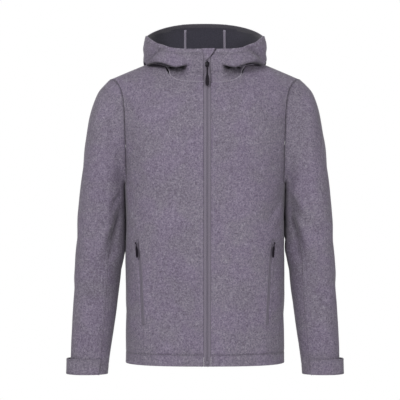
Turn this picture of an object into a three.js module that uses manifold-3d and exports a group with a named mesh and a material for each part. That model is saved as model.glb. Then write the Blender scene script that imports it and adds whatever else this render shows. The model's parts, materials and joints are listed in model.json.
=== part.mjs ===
// A hooded softshell jacket, filled out as worn, with nobody in it.
// Millimetres. Z is measured up from the high points of the shoulders, and the front faces -Y.
// Left and right are the wearer's, so the left side lies at +X. It is modelled, and mirrored for the right.
import * as THREE from "three";
import { mergeVertices } from "three/addons/utils/BufferGeometryUtils.js";
import Module from "manifold-3d";

const wall = 2; // thickness of the bonded cloth
const gap = 0.3; // between pieces at a seam, and under a piece that lies on another
const hem = -727;
const underarm = -296;
const underarmDip = 12; // how far the armhole sinks at the side
const tip = 230; // half the width across the shoulders
const shoulder = { slope: 0.43, soften: 30, lift: 6 }; // the ridge starts to fall softly at the neck
const planPower = 2.5; // superellipse power of the body's level sections
const profilePower = 2.5; // and of its sections over the shoulder
const rowEase = 1.4; // spreads the rows evenly over the shoulder
const zipEdge = 8.5; // half the width between the front edges
const zipMiddle = 5; // how far the zip lies towards the wearer's left

const bodyRings = [
  { z: -727, half: 190, front: 122, back: 116 },
  { z: -600, half: 190, front: 120, back: 108 },
  { z: -470, half: 191, front: 124, back: 112 },
  { z: -296, half: 193, front: 132, back: 128 },
  { z: -150, half: 214, front: 132, back: 128 },
  { z: -56, half: 246, front: 132, back: 128 },
  { z: 0, half: 262, front: 132, back: 128 },
];

// Edges of the front and back panels, by how far up the panel: 0 at the hem, 1 underarm, 2 on the shoulder.
const pocketSeam = [
  { up: 0, x: 147 },
  { up: 0.22, x: 145 },
  { up: 0.68, x: 158 },
  { up: 0.86, x: 180 },
  { up: 1, x: 186 },
];
const backSeam = [
  { up: 0, x: 166 },
  { up: 0.5, x: 164 },
  { up: 1, x: 178 },
];
const frontArmhole = [
  { up: 1, x: 186 },
  { up: 1.3, x: 188 },
  { up: 1.62, x: 194 },
  { up: 1.85, x: 213 },
  { up: 2, x: tip },
];
const backArmhole = [
  { up: 1, x: 178 },
  { up: 1.3, x: 194 },
  { up: 1.62, x: 204 },
  { up: 1.85, x: 218 },
  { up: 2, x: tip },
];
const neck = {
  half: 97,
  frontUp: 1.63,
  frontPower: 4,
  backUp: 1.831,
  backPower: 2.6,
  columnFoot: 115, // where the wall's column under the neck's side meets the hem
};
const columnEase = 1.6; // how the columns' spacing turns from the hem's to the neck's
const neckFade = 2.5; // how quickly the neckline's dip dies away down the panel
const edgeFade = 5; // and the outer edge's shape, inwards

// Soft troughs of the body: face, x and z of the middle, half length and width, lean sideways and depth.
const bodyFolds = [
  { face: -1, x: 152, z: -350, long: 60, wide: 20, lean: -0.35, deep: 5 },
  { face: -1, x: 100, z: -655, long: 40, wide: 60, lean: 0.2, deep: 4 },
  { face: -1, x: 178, z: -250, long: 70, wide: 22, lean: -0.1, deep: 4 },
  { face: 1, x: 118, z: -520, long: 130, wide: 34, lean: 0.12, deep: 6 },
  { face: 1, x: 168, z: -330, long: 70, wide: 24, lean: -0.25, deep: 5 },
  { face: 1, x: 0, z: -330, long: 120, wide: 40, lean: 0, deep: 7 },
];

// Soft troughs of the sleeve: how far down it (0 to 1), the turn, half length, half width, lean, depth.
const sleeveFolds = [
  { down: 0.44, turn: 118, long: 0.12, wide: 20, lean: -60, deep: 5 },
  { down: 0.58, turn: 165, long: 0.05, wide: 45, lean: 0, deep: 4 },
  { down: 0.67, turn: 150, long: 0.05, wide: 40, lean: 60, deep: 4 },
  { down: 0.36, turn: 238, long: 0.12, wide: 22, lean: 60, deep: 5 },
  { down: 0.8, turn: 60, long: 0.05, wide: 40, lean: 80, deep: 3 },
];

// Numbers of wall segments along each shared edge.
const mesh = { neck: 8, centre: 3, shoulder: 5, low: 9, high: 8, side: 6, sleeve: 17, hood: 14 };

// The hood's rings from the neck seam to the rim: half width, front and back depth, three heights, and
// own, how much of its plan is the hood's own rounded one and not the neck seam's.
const hoodRings = [
  { half: 100, front: 96, back: 64, zFront: -47, zSide: 10, zBack: 0, own: 0 },
  { half: 112, front: 99, back: 82, zFront: -36, zSide: 6, zBack: -20, own: 0.3 },
  { half: 130, front: 101, back: 116, zFront: -28, zSide: -10, zBack: -96, own: 0.7 },
  { half: 143, front: 103, back: 139, zFront: -21, zSide: -15, zBack: -176, own: 1 },
  { half: 148, front: 105, back: 160, zFront: -13, zSide: -6, zBack: -176, own: 1 },
  { half: 149, front: 108, back: 172, zFront: -2, zSide: 15, zBack: -110, own: 1 },
  { half: 147, front: 110, back: 162, zFront: 6, zSide: 34, zBack: 10, own: 1 },
  { half: 142, front: 111, back: 131, zFront: 14, zSide: 54, zBack: 98, own: 1 },
];
const hood = { planPower: 2.5, frontRise: 3, backRise: 1.3, centreTurn: 15.2, rest: 6 };

// The sleeve's rings after the armhole: the outer and inner points seen from the front, the depth,
// how far its middle lies forward, how far its front and back lean in, and its two seams' turns.
const sleeveRings = [
  { outX: 241, outZ: -63, inX: 195.5, inZ: -311, depth: 146, ahead: 0, scoop: 16, seam: 141, rear: 134 },
  { outX: 255, outZ: -79, inX: 196, inZ: -314, depth: 154, ahead: 0, scoop: 9, seam: 142, rear: 133 },
  { outX: 265, outZ: -101, inX: 196.5, inZ: -318, depth: 159, ahead: 0, scoop: 4, seam: 143, rear: 132 },
  { outX: 276, outZ: -138, inX: 197, inZ: -324, depth: 160, ahead: 0, scoop: 0, seam: 144, rear: 131 },
  { outX: 286, outZ: -196, inX: 197, inZ: -334, depth: 156, ahead: 1, scoop: 0, seam: 146, rear: 130 },
  { outX: 294, outZ: -258, inX: 196.5, inZ: -352, depth: 149, ahead: 2, scoop: 0, seam: 147, rear: 129 },
  { outX: 301, outZ: -326, inX: 196, inZ: -382, depth: 139, ahead: 4, scoop: 0, seam: 139, rear: 128 },
  { outX: 306, outZ: -392, inX: 196, inZ: -420, depth: 129, ahead: 6, scoop: 0, seam: 125, rear: 127 },
  { outX: 310, outZ: -458, inX: 197, inZ: -467, depth: 118, ahead: 9, scoop: 0, seam: 114, rear: 126 },
  { outX: 313, outZ: -520, inX: 202, inZ: -522, depth: 108, ahead: 12, scoop: 0, seam: 117, rear: 125 },
  { outX: 315, outZ: -582, inX: 209, inZ: -582, depth: 98, ahead: 16, scoop: 0, seam: 120, rear: 124 },
  { outX: 318, outZ: -648, inX: 218, inZ: -648, depth: 87, ahead: 20, scoop: 0, seam: 123, rear: 124 },
  { outX: 320, outZ: -712, inX: 229, inZ: -712, depth: 73, ahead: 24, scoop: 0, seam: 124, rear: 124 },
  { outX: 321, outZ: -757, inX: 236, inZ: -757, depth: 64, ahead: 26, scoop: 0, seam: 124, rear: 124 },
];
const sleevePower = 2.2;

const tab = { height: 37, wall: 2, stand: 8, rearColumns: 5 };
const pocket = { top: -430, bottom: -632, halfX: 3.4, wall: 1.6 };
const garage = { from: -7.5, to: 24.5, height: 24, wall: 1.6, lift: 0.9 };
const tape = { width: 6, wall: 1, lift: 0.8, from: 0.5, to: 0.95 };
const mainPull = { z: -23, width: 5, grip: 8.6, length: 48, thick: 2.4 };
const pocketPull = { z: -440, width: 4.5, grip: 6.5, length: 34, thick: 2 };
const mainSlider = { width: 11, height: 17, thick: 4.2 };
const pocketSlider = { width: 9, height: 13, thick: 3.5 };
const pin = { radius: 0.8, clear: 0.35, eye: 1.2, lug: 1.2 };

const colours = {
  shell: { color: 0x7e7786, roughness: 0.92 },
  shellSide: { color: 0x6f6976, roughness: 0.92 },
  zip: { color: 0x6c6473, roughness: 0.7 },
  tape: { color: 0x6c6775, roughness: 0.8 },
  pull: { color: 0x17111c, roughness: 0.5 },
  slider: { color: 0x1d1822, roughness: 0.45, metalness: 0.3 },
};

const lerp = THREE.MathUtils.lerp;
const radians = THREE.MathUtils.degToRad;

// A smooth function through one column of a table, by another column that rises or falls.
function through(rows, by, column) {
  const at = rows.map((row) => row[by]);
  const is = rows.map((row) => row[column]);
  const last = at.length - 1;
  const slope = at.map((_, i) => {
    const [a, b] = [Math.max(i - 1, 0), Math.min(i + 1, last)];
    return (is[b] - is[a]) / (at[b] - at[a]);
  });
  return (value) => {
    const way = at[last] > at[0] ? 1 : -1;
    let i = 0;
    while (i < last - 1 && (value - at[i + 1]) * way > 0) i += 1;
    const span = at[i + 1] - at[i];
    const t = THREE.MathUtils.clamp((value - at[i]) / span, 0, 1);
    const rise = (is[i + 1] - is[i]) * t * t * (3 - 2 * t);
    return is[i] + rise + span * t * (1 - t) * (slope[i] * (1 - t) - slope[i + 1] * t);
  };
}

// The same for rows that are evenly spaced, by a fraction of 0 to 1 from the first to the last.
function alongRows(rows, columns) {
  const numbered = rows.map((row, i) => ({ ...row, step: i / (rows.length - 1) }));
  return Object.fromEntries(columns.map((column) => [column, through(numbered, "step", column)]));
}

const bodyHalf = through(bodyRings, "z", "half");
const bodyFront = through(bodyRings, "z", "front");
const bodyBack = through(bodyRings, "z", "back");
const bodyDepth = (z, face) => (face < 0 ? bodyFront(z) : bodyBack(z));

// The height of the shoulder's ridge: level over the neck, then falling to the tip.
function ridge(x) {
  const past = Math.abs(x) - neck.half;
  return shoulder.lift - (shoulder.slope * (Math.hypot(past, shoulder.soften) + past)) / 2;
}

// How deep a set of folds is at a place, which is given by how far down and across it lies.
const folded = (folds, down, across, downKey, acrossKey) =>
  folds.reduce((sum, fold) => {
    const fromMiddle = down - fold[downKey];
    const aside = (across - fold[acrossKey] - fold.lean * fromMiddle) / fold.wide;
    return sum + fold.deep * Math.exp(-(aside ** 2) - (fromMiddle / fold.long) ** 2);
  }, 0);
const bodyFold = (x, z, face) =>
  folded(bodyFolds.filter((fold) => fold.face === face), z, Math.abs(x), "z", "x");

// A point of the body's front (face -1) or back (face 1), by its x and how far up it lies.
function bodyPoint(x, up, face) {
  const lift = (Math.max(up - 1, 0) ** rowEase * Math.PI) / 2;
  const over = Math.sin(lift) ** (2 / profilePower);
  const z = up < 1 ? lerp(hem, underarm, up) : lerp(underarm, ridge(x), over);
  const inward = Math.max(Math.cos(lift), 0) ** (2 / profilePower);
  const share = Math.min(Math.abs(x) / bodyHalf(z), 1) ** planPower;
  const depth = bodyDepth(Math.min(z, underarm), face) - bodyFold(x, z, face);
  return new THREE.Vector3(x, face * depth * inward * (1 - share) ** (1 / planPower), z);
}

function bodyNormal(x, up, face) {
  const step = 0.004;
  const level = Math.min(up, 2 - 2 * step);
  const across = bodyPoint(x + 1, level, face).sub(bodyPoint(x - 1, level, face));
  const upward = bodyPoint(x, level + step, face).sub(bodyPoint(x, level - step, face));
  return across.cross(upward).multiplyScalar(-face).normalize();
}

// The height of the body's upper side over a point of the plan.
function bodyTop(x, y) {
  let z = 0;
  for (let pass = 0; pass < 4; pass += 1) {
    const share = Math.min(Math.abs(x) / bodyHalf(z), 1) ** planPower;
    const depth = bodyDepth(underarm, y) * (1 - share) ** (1 / planPower);
    const out = Math.min(Math.abs(y) / Math.max(depth, 1), 1) ** profilePower;
    z = lerp(underarm, ridge(x), (1 - out) ** (1 / profilePower));
  }
  return z;
}

// The place inside four edges, each a function of 0 to 1 that gives [x, up]. The outer edge's shape
// fades quickly inwards, so that the columns under the neck stay upright.
function inside({ bottom, top, inner, outer }, s, t) {
  const reach = s ** edgeFade;
  const between = (share) => {
    const [foot, head] = [bottom(share), top(share)];
    return [lerp(foot[0], head[0], t ** columnEase), 2 * t - (2 - head[1]) * t ** neckFade];
  };
  return [0, 1].map((k) => {
    const nearer = (1 - reach) * (inner(t)[k] - between(0)[k]);
    return between(s)[k] + nearer + reach * (outer(t)[k] - between(1)[k]);
  });
}

// A turn round the neck or hood: 0 at the centre, a quarter turn at the side, by column.
function turnAt(column, face) {
  const { centre, neck: count } = mesh;
  if (face < 0) return ((Math.PI / 2) * column) / count;
  const seam = radians(hood.centreTurn);
  if (column <= centre) return (seam * column) / centre;
  return lerp(seam, Math.PI / 2, (column - centre) / (count - centre));
}

function neckline(column, face, inner) {
  const [power, start] =
    face < 0 ? [neck.frontPower, neck.frontUp] : [neck.backPower, neck.backUp];
  const turn = turnAt(column, face);
  const x = lerp(inner, neck.half, Math.sin(turn) ** (2 / power));
  return [x, 2 - (2 - start) * Math.max(Math.cos(turn), 0) ** (2 / power)];
}

// The grid of a front panel or of half the back: from the inner edge's x out, from the hem up.
function halfBody(face, inner) {
  const seam = through(face < 0 ? pocketSeam : backSeam, "up", "x");
  const armhole = through(face < 0 ? frontArmhole : backArmhole, "up", "x");
  const neckUp = face < 0 ? neck.frontUp : neck.backUp;
  const [columns, rows] = [mesh.neck + mesh.shoulder, mesh.low + mesh.high];
  const low = mesh.low / rows;
  const rise = (t, top) => (t <= low ? t / low : lerp(1, top, (t - low) / (1 - low)));
  const edges = {
    bottom: (s) => {
      const column = s * columns;
      if (column <= mesh.neck) return [lerp(inner, neck.columnFoot, column / mesh.neck), 0];
      return [lerp(neck.columnFoot, seam(0), (column - mesh.neck) / mesh.shoulder), 0];
    },
    inner: (t) => [inner, rise(t, neckUp)],
    outer: (t) => [t <= low ? seam(rise(t, 2)) : armhole(rise(t, 2)), rise(t, 2)],
    top: (s) => {
      const column = s * columns;
      if (column <= mesh.neck) return neckline(column, face, inner);
      return [lerp(neck.half, tip, (column - mesh.neck) / mesh.shoulder), 2];
    },
  };
  return grid(rows, columns, (row, column) => {
    const [x, up] = inside(edges, column / columns, row / rows);
    return { point: bodyPoint(x, up, face), normal: bodyNormal(x, up, face) };
  });
}

function grid(rows, columns, make) {
  return Array.from({ length: rows + 1 }, (_, row) =>
    Array.from({ length: columns + 1 }, (_, column) => make(row, column)),
  );
}

const mirrorNode = ({ point, normal }) => ({
  point: point.clone().setX(-point.x),
  normal: normal.clone().setX(-normal.x),
});
const mirrored = (sheet) => sheet.map((row) => row.map(mirrorNode).reverse());

// The side panel, from the pocket seam round the side to the back seam, with its dipped top edge.
function sidePanel() {
  const fore = through(pocketSeam, "up", "x");
  const aft = through(backSeam, "up", "x");
  const turnOf = (x, z) => Math.asin((x / bodyHalf(z)) ** (planPower / 2));
  return grid(mesh.low, mesh.side, (row, column) => {
    const up = row / mesh.low;
    const level = lerp(hem, underarm, up);
    const t = column / mesh.side;
    const turn = lerp(turnOf(fore(up), level), Math.PI - turnOf(aft(up), level), t);
    const z = level - up ** 4 * underarmDip * Math.sin(Math.PI * t);
    const point = (angle, height) => {
      const face = angle < Math.PI / 2 ? -1 : 1;
      const x = bodyHalf(height) * Math.sin(angle) ** (2 / planPower);
      const depth = bodyDepth(height, face) - bodyFold(x, height, face);
      return new THREE.Vector3(x, face * depth * Math.abs(Math.cos(angle)) ** (2 / planPower), height);
    };
    const across = point(turn + 0.01, z).sub(point(turn - 0.01, z));
    const upward = point(turn, Math.min(z + 2, underarm)).sub(point(turn, z - 2));
    return { point: point(turn, z), normal: across.cross(upward).normalize() };
  });
}

// Normals for a grid of points, taken from its neighbours; ring is true where its columns close.
function withNormals(points, ring) {
  const [rows, columns] = [points.length, points[0].length];
  return points.map((line, row) =>
    line.map((point, column) => {
      const before = ring ? (column + columns - 1) % columns : Math.max(column - 1, 0);
      const after = ring ? (column + 1) % columns : Math.min(column + 1, columns - 1);
      const [under, over] = [Math.max(row - 1, 0), Math.min(row + 1, rows - 1)];
      const across = line[after].clone().sub(line[before]);
      const upward = points[over][column].clone().sub(points[under][column]);
      return { point, normal: across.cross(upward).normalize() };
    }),
  );
}

// Columns from one to another of a sheet, counted on past the end of a ring.
const cut = (sheet, from, to) =>
  sheet.map((row) =>
    Array.from({ length: to - from + 1 }, (_, i) => {
      const { point, normal } = row[(from + i) % row.length];
      return { point: point.clone(), normal: normal.clone() };
    }),
  );

// Draws edges in by half the seam's gap, or by more where the seam bends sharply.
function eased(sheet, sides, by = gap / 2) {
  const [top, end] = [sheet.length - 1, sheet[0].length - 1];
  const rows = sheet.map((row) => row.map(({ point, normal }) => ({ point: point.clone(), normal })));
  const pull = (row, column, fromRow, fromColumn) => {
    const inward = sheet[fromRow][fromColumn].point.clone().sub(sheet[row][column].point);
    rows[row][column].point.add(inward.setLength(by));
  };
  for (let row = 0; row <= top; row += 1) {
    if (sides.includes("left")) pull(row, 0, row, 1);
    if (sides.includes("right")) pull(row, end, row, end - 1);
  }
  for (let column = 0; column <= end; column += 1) {
    if (sides.includes("bottom")) pull(0, column, 1, column);
    if (sides.includes("top")) pull(top, column, top - 1, column);
  }
  return rows;
}

// A closed wall between a sheet and the same sheet moved in by the thickness; lift moves both out.
function wallGeometry(sheet, thickness = wall, lift = 0) {
  const [rows, columns] = [sheet.length, sheet[0].length];
  const nodes = sheet.flat();
  const face = (out) => nodes.map(({ point, normal }) => point.clone().addScaledVector(normal, out));
  const points = [...face(lift), ...face(lift - thickness)];
  const inner = rows * columns;
  const index = [];
  const quad = (a, b, c, d) => index.push(a, b, c, a, c, d);
  for (let row = 0; row < rows - 1; row += 1) {
    for (let column = 0; column < columns - 1; column += 1) {
      const a = row * columns + column;
      quad(a, a + 1, a + columns + 1, a + columns);
      quad(inner + a, inner + a + columns, inner + a + columns + 1, inner + a + 1);
    }
  }
  const rim = [];
  for (let column = 0; column < columns - 1; column += 1) rim.push(column);
  for (let row = 0; row < rows - 1; row += 1) rim.push(row * columns + columns - 1);
  for (let column = columns - 1; column > 0; column -= 1) rim.push((rows - 1) * columns + column);
  for (let row = rows - 1; row > 0; row -= 1) rim.push(row * columns);
  rim.forEach((a, i) => {
    const b = rim[(i + 1) % rim.length];
    quad(b, a, inner + a, inner + b);
  });
  const geometry = new THREE.BufferGeometry().setFromPoints(points).setIndex(index);
  geometry.computeVertexNormals();
  return geometry;
}

// The armhole, from the shoulder tip down the front, under the arm and up the back.
function armhole(front, side, back) {
  const edge = (sheet) => sheet.slice(mesh.low).map((row) => row[row.length - 1]);
  const under = side[side.length - 1];
  return [...edge(front).reverse(), ...under.slice(1, -1), ...edge(back).slice(0, -1)];
}

// The sleeve as a closed tube: its first ring is the armhole, the others are in the table.
function sleeveSheet(hole) {
  const keys = ["outX", "outZ", "inX", "inZ", "depth", "ahead", "scoop", "seam", "rear"];
  const ring = alongRows(sleeveRings, keys);
  const [high, low] = [hole[0].point, hole[mesh.high + mesh.side / 2].point];
  const middle = high.clone().add(low).multiplyScalar(0.5);
  const axis = high.clone().sub(low).multiplyScalar(0.5);
  const halfDepth = Math.max(...hole.map(({ point }) => Math.abs(point.y)));
  const turns = hole.map(({ point }) => {
    const out = point.clone().sub(middle).dot(axis) / axis.lengthSq();
    const turn = Math.atan2(-point.y / halfDepth, out);
    return turn < -1e-6 ? turn + 2 * Math.PI : Math.max(turn, 0);
  });
  const [fore, aft] = [mesh.high, mesh.high + mesh.side];
  const squash = (value, power) => Math.sign(value) * Math.abs(value) ** (2 / power);
  const turnOn = (column, t) => {
    const [seam, rear] = [radians(ring.seam(t)), 2 * Math.PI - radians(ring.rear(t))];
    const turn = turns[column];
    if (column <= fore) return (turn / turns[fore]) * seam;
    if (column >= aft) return lerp(rear, 2 * Math.PI, (turn - turns[aft]) / (2 * Math.PI - turns[aft]));
    return lerp(seam, rear, (turn - turns[fore]) / (turns[aft] - turns[fore]));
  };
  const rings = Array.from({ length: mesh.sleeve }, (_, row) => {
    const t = row / (mesh.sleeve - 1);
    const [outer, inner] = [[ring.outX(t), ring.outZ(t)], [ring.inX(t), ring.inZ(t)]];
    return hole.map((_, column) => {
      const turn = turnOn(column, t);
      const out = (squash(Math.cos(turn), sleevePower) + 1) / 2;
      const forward = squash(Math.sin(turn), sleevePower);
      const fold = folded(sleeveFolds, t, THREE.MathUtils.radToDeg(turn), "down", "turn");
      const x = lerp(inner[0], outer[0], out) - ring.scoop(t) * forward * forward;
      const y = -ring.ahead(t) - (forward * ring.depth(t)) / 2;
      const [inX, inY] = [-Math.cos(turn) * fold, Math.sin(turn) * fold];
      return new THREE.Vector3(x + inX, y + inY, lerp(inner[1], outer[1], out));
    });
  });
  const sheet = withNormals([hole.map(({ point }) => point.clone()), ...rings], true);
  sheet[0].forEach((node, column) => {
    const along = rings[0][column].clone().sub(node.point).normalize();
    const cloth = hole[column].normal;
    const facing = Math.max(-cloth.dot(node.normal), 0);
    const convex = node.normal.clone().sub(cloth).dot(along) > 0 && facing === 0;
    node.point.add(along.addScaledVector(cloth, facing).setLength(gap));
    if (convex) node.normal.copy(cloth);
  });
  return sheet;
}

// Lifts a point of the hood until it lies clear of the shoulders and back.
function rested(point) {
  const y = Math.sign(point.y) * Math.max(Math.abs(point.y) - hood.rest, 0);
  return point.setZ(Math.max(point.z, bodyTop(point.x, y) + hood.rest));
}

// Half the hood from the zip's edge round to the centre back, from the neck seam to the rim.
function halfHood(edge) {
  const count = 2 * mesh.neck;
  const columns = Array.from({ length: count + 1 }, (_, i) => {
    const face = i <= mesh.neck ? -1 : 1;
    const column = face < 0 ? i : count - i;
    const turn = turnAt(column, face);
    const [side, deep] = [Math.sin(turn), Math.max(Math.cos(turn), 0)];
    const inner = face < 0 ? edge : 0;
    const seam = bodyPoint(...neckline(column, face, inner), face);
    const centre = bodyPoint(...neckline(0, face, inner), face);
    const path = hoodRings.map((ring) => {
      const depth = face < 0 ? ring.front : ring.back;
      const own = [
        lerp(inner, ring.half, side ** (2 / hood.planPower)),
        face * depth * deep ** (2 / hood.planPower),
      ];
      const widened = (ring.half - inner) / (neck.half - inner);
      const like = [inner + (seam.x - inner) * widened, (seam.y * depth) / Math.abs(centre.y)];
      const [x, y] = [0, 1].map((k) => lerp(like[k], own[k], ring.own));
      const z =
        face < 0
          ? lerp(ring.zFront, ring.zSide, side ** hood.frontRise)
          : lerp(ring.zSide, ring.zBack, deep ** hood.backRise);
      return rested(new THREE.Vector3(x, y, z));
    });
    return new THREE.CatmullRomCurve3([seam, ...path], false, "centripetal");
  });
  return withNormals(
    Array.from({ length: mesh.hood + 1 }, (_, row) =>
      columns.map((curve) => curve.getPoint(row / mesh.hood)),
    ),
    false,
  );
}

// A strip along a line of nodes: across gives the direction of its width at each node.
function strip(nodes, across, width, segments) {
  return nodes.map(({ point, normal }, i) =>
    Array.from({ length: segments + 1 }, (_, k) => ({
      point: point.clone().addScaledVector(across(i), width * (k / segments - 0.5)),
      normal: normal.clone(),
    })),
  );
}

const wasm = await Module();
wasm.setup();

function solidOf(geometry) {
  const bare = geometry.clone();
  bare.deleteAttribute("normal");
  bare.deleteAttribute("uv");
  const merged = mergeVertices(bare, 1e-4);
  return new wasm.Manifold(
    new wasm.Mesh({
      numProp: 3,
      vertProperties: merged.attributes.position.array,
      triVerts: new Uint32Array(merged.index.array),
    }),
  );
}

function joined(...geometries) {
  const whole = geometries.map(solidOf).reduce((sum, next) => sum.add(next));
  const { vertProperties, triVerts } = whole.getMesh();
  const geometry = new THREE.BufferGeometry();
  geometry.setAttribute("position", new THREE.BufferAttribute(vertProperties, 3));
  geometry.setIndex(new THREE.BufferAttribute(triVerts, 1));
  geometry.computeVertexNormals();
  return geometry;
}

function roundedPlate(width, height, thickness, radius) {
  const [x, z] = [width / 2, height / 2];
  const shape = new THREE.Shape();
  shape.moveTo(-x + radius, -z).lineTo(x - radius, -z);
  shape.absarc(x - radius, -z + radius, radius, -Math.PI / 2, 0, false);
  shape.absarc(x - radius, z - radius, radius, 0, Math.PI / 2, false);
  shape.absarc(-x + radius, z - radius, radius, Math.PI / 2, Math.PI, false);
  shape.absarc(-x + radius, -z + radius, radius, Math.PI, 1.5 * Math.PI, false);
  const options = { depth: thickness, bevelEnabled: false, curveSegments: 3 };
  return new THREE.ExtrudeGeometry(shape, options).rotateX(Math.PI / 2);
}

// A slider's body with two lugs and a pin. Its frame: the pin's axis along X, out of the cloth -Y.
function sliderGeometry({ width, height, thick }, pull) {
  const out = pin.radius + pin.clear + pin.eye + gap;
  const body = roundedPlate(width, height, thick, width / 4).translate(0, out + thick, 0);
  const reach = pull.width / 2 + gap;
  const lug = (side) => {
    const box = new THREE.BoxGeometry(pin.lug, out + thick / 2 + pin.radius, 2.6 * pin.radius);
    return box.translate(side * (reach + pin.lug / 2), (out + thick / 2 - pin.radius) / 2, 0);
  };
  const bar = new THREE.CylinderGeometry(pin.radius, pin.radius, 2 * reach + pin.lug, 10);
  return joined(body, lug(-1), lug(1), bar.rotateZ(Math.PI / 2));
}

// A pull that hangs down from its eye round the pin, with a wider grip at its foot.
function pullGeometry({ width, grip, length, thick }) {
  const [inner, outer] = [pin.radius + pin.clear, pin.radius + pin.clear + pin.eye];
  const ring = new THREE.Shape().absarc(0, 0, outer, 0, 2 * Math.PI, false);
  ring.holes.push(new THREE.Path().absarc(0, 0, inner, 0, 2 * Math.PI, true));
  const eye = new THREE.ExtrudeGeometry(ring, { depth: width, bevelEnabled: false, curveSegments: 6 });
  eye.rotateY(Math.PI / 2).translate(-width / 2, 0, 0);
  const [w, g, waist] = [width / 2, grip / 2, -0.62 * length];
  const blade = new THREE.Shape();
  blade.moveTo(-w, -inner - pin.eye / 2).lineTo(-0.75 * w, 0.5 * waist).lineTo(-g, waist);
  blade.lineTo(-g, -length + g);
  blade.absarc(0, -length + g, g, Math.PI, 2 * Math.PI, false);
  blade.lineTo(g, waist).lineTo(0.75 * w, 0.5 * waist).lineTo(w, -inner - pin.eye / 2);
  const plate = new THREE.ExtrudeGeometry(blade, {
    depth: thick,
    bevelEnabled: false,
    curveSegments: 5,
  });
  return joined(eye, plate.rotateX(Math.PI / 2).translate(0, thick / 2, 0));
}

const jacket = new THREE.Group();

function add(name, geometry, colour, parent = jacket) {
  const material = new THREE.MeshStandardMaterial({ ...colours[colour], name: colour });
  const piece = new THREE.Mesh(geometry, material);
  piece.name = name;
  parent.add(piece);
  return piece;
}

function addPair(name, sheet, colour, thickness, lift, rightSheet = sheet) {
  add(name + "_left", wallGeometry(sheet, thickness, lift), colour);
  add(name + "_right", wallGeometry(mirrored(rightSheet), thickness, lift), colour);
}

// Puts a slider on the cloth's outer face, square to its direction, with a pull that hangs straight down.
function addSlider(name, at, facing, slider, pull) {
  const place = new THREE.Group();
  const tilted = new THREE.Group();
  const out = pin.radius + pin.clear + pin.eye + 2 * gap + slider.thick;
  place.position.copy(at).addScaledVector(facing, out);
  place.rotation.z = Math.atan2(facing.x, -facing.y);
  tilted.rotation.x = -Math.asin(facing.z);
  place.add(tilted);
  jacket.add(place);
  add(name + "_slider", sliderGeometry(slider, pull), "slider", tilted);
  add(name + "_pull", pullGeometry(pull), "pull", place);
}

const [leftEdge, rightEdge] = [zipEdge + zipMiddle, zipEdge - zipMiddle];
const front = halfBody(-1, leftEdge);
const frontRight = halfBody(-1, rightEdge);
const halfBack = halfBody(1, 0);
const side = sidePanel();
const back = halfBack.map((row) => [...row.slice().reverse(), ...row.slice(1).map(mirrorNode)]);
const edged = (sheet) => eased(sheet, ["left", "right", "top"]);
addPair("front", edged(front), "shell", wall, 0, edged(frontRight));
addPair("side", edged(side), "shellSide");
add("back", wallGeometry(edged(back)), "shell");

const sleeve = sleeveSheet(armhole(front, side, halfBack));
const [fore, aft, around] = [mesh.high, mesh.high + mesh.side, sleeve[0].length];
const downward = (sheet) => eased(sheet, ["left", "right"], 0.25);
addPair("sleeve_upper", downward(cut(sleeve, aft, around + fore)), "shell");
addPair("sleeve_under", downward(cut(sleeve, fore, aft)), "shellSide");

const halfHoodSheet = halfHood(leftEdge);
const seamColumn = 2 * mesh.neck - mesh.centre;
const hoodBack = cut(halfHoodSheet, seamColumn, 2 * mesh.neck);
const hoodCentre = hoodBack.map((row) => [...row, ...row.slice(0, -1).map(mirrorNode).reverse()]);
const upright = (sheet) => eased(sheet, ["left", "right", "bottom"], 0.22);
const hoodSide = (sheet) => upright(cut(sheet, 0, seamColumn));
addPair("hood_side", hoodSide(halfHoodSheet), "shell", wall, 0, hoodSide(halfHood(rightEdge)));
add("hood_centre", wallGeometry(upright(hoodCentre)), "shell");

// The front zip, from the hem up the front panels' edge and the hood's to the rim.
const sunk = (nodes, depth) =>
  nodes.map(({ point, normal }) => ({ point: point.clone().addScaledVector(normal, -depth), normal }));
const sideways = new THREE.Vector3(1, 0, 0);
const frontEdge = front.map((row) => row[0]);
const collarEdge = halfHoodSheet.map((row) => row[0]);
const zipLine = sunk([...frontEdge.slice(0, -1), ...collarEdge], 0.4).map(({ point, normal }) => ({
  point: point.setX(zipMiddle),
  normal,
}));
const zipWidth = 2 * (zipEdge - gap);
add("zip_main", wallGeometry(strip(zipLine, () => sideways, zipWidth, 1), 1.6), "zip");

// The flap that covers the top of the zip, on the collar's outer face.
const collar = new THREE.CatmullRomCurve3(collarEdge.map(({ point }) => point));
function collarNode(z) {
  let [low, high] = [0, 1];
  for (let pass = 0; pass < 24; pass += 1) {
    const middle = (low + high) / 2;
    if (collar.getPoint(middle).z < z) low = middle;
    else high = middle;
  }
  const along = collar.getTangent(low);
  const point = collar.getPoint(low).setX(zipMiddle);
  return { point, normal: new THREE.Vector3(0, -along.z, along.y) };
}
const rimZ = hoodRings.at(-1).zFront;
const garageNodes = [0, 1, 2, 3].map((i) => {
  const node = collarNode(rimZ - 0.5 - garage.height * (1 - i / 3));
  node.point.setX((garage.from + garage.to) / 2);
  return node;
});
const garageSheet = strip(garageNodes, () => sideways, garage.to - garage.from, 4);
add("zip_garage", wallGeometry(garageSheet, garage.wall, garage.wall + garage.lift), "shell");

const mainAt = collarNode(mainPull.z);
addSlider("zip_main", mainAt.point, mainAt.normal, mainSlider, mainPull);

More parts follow.
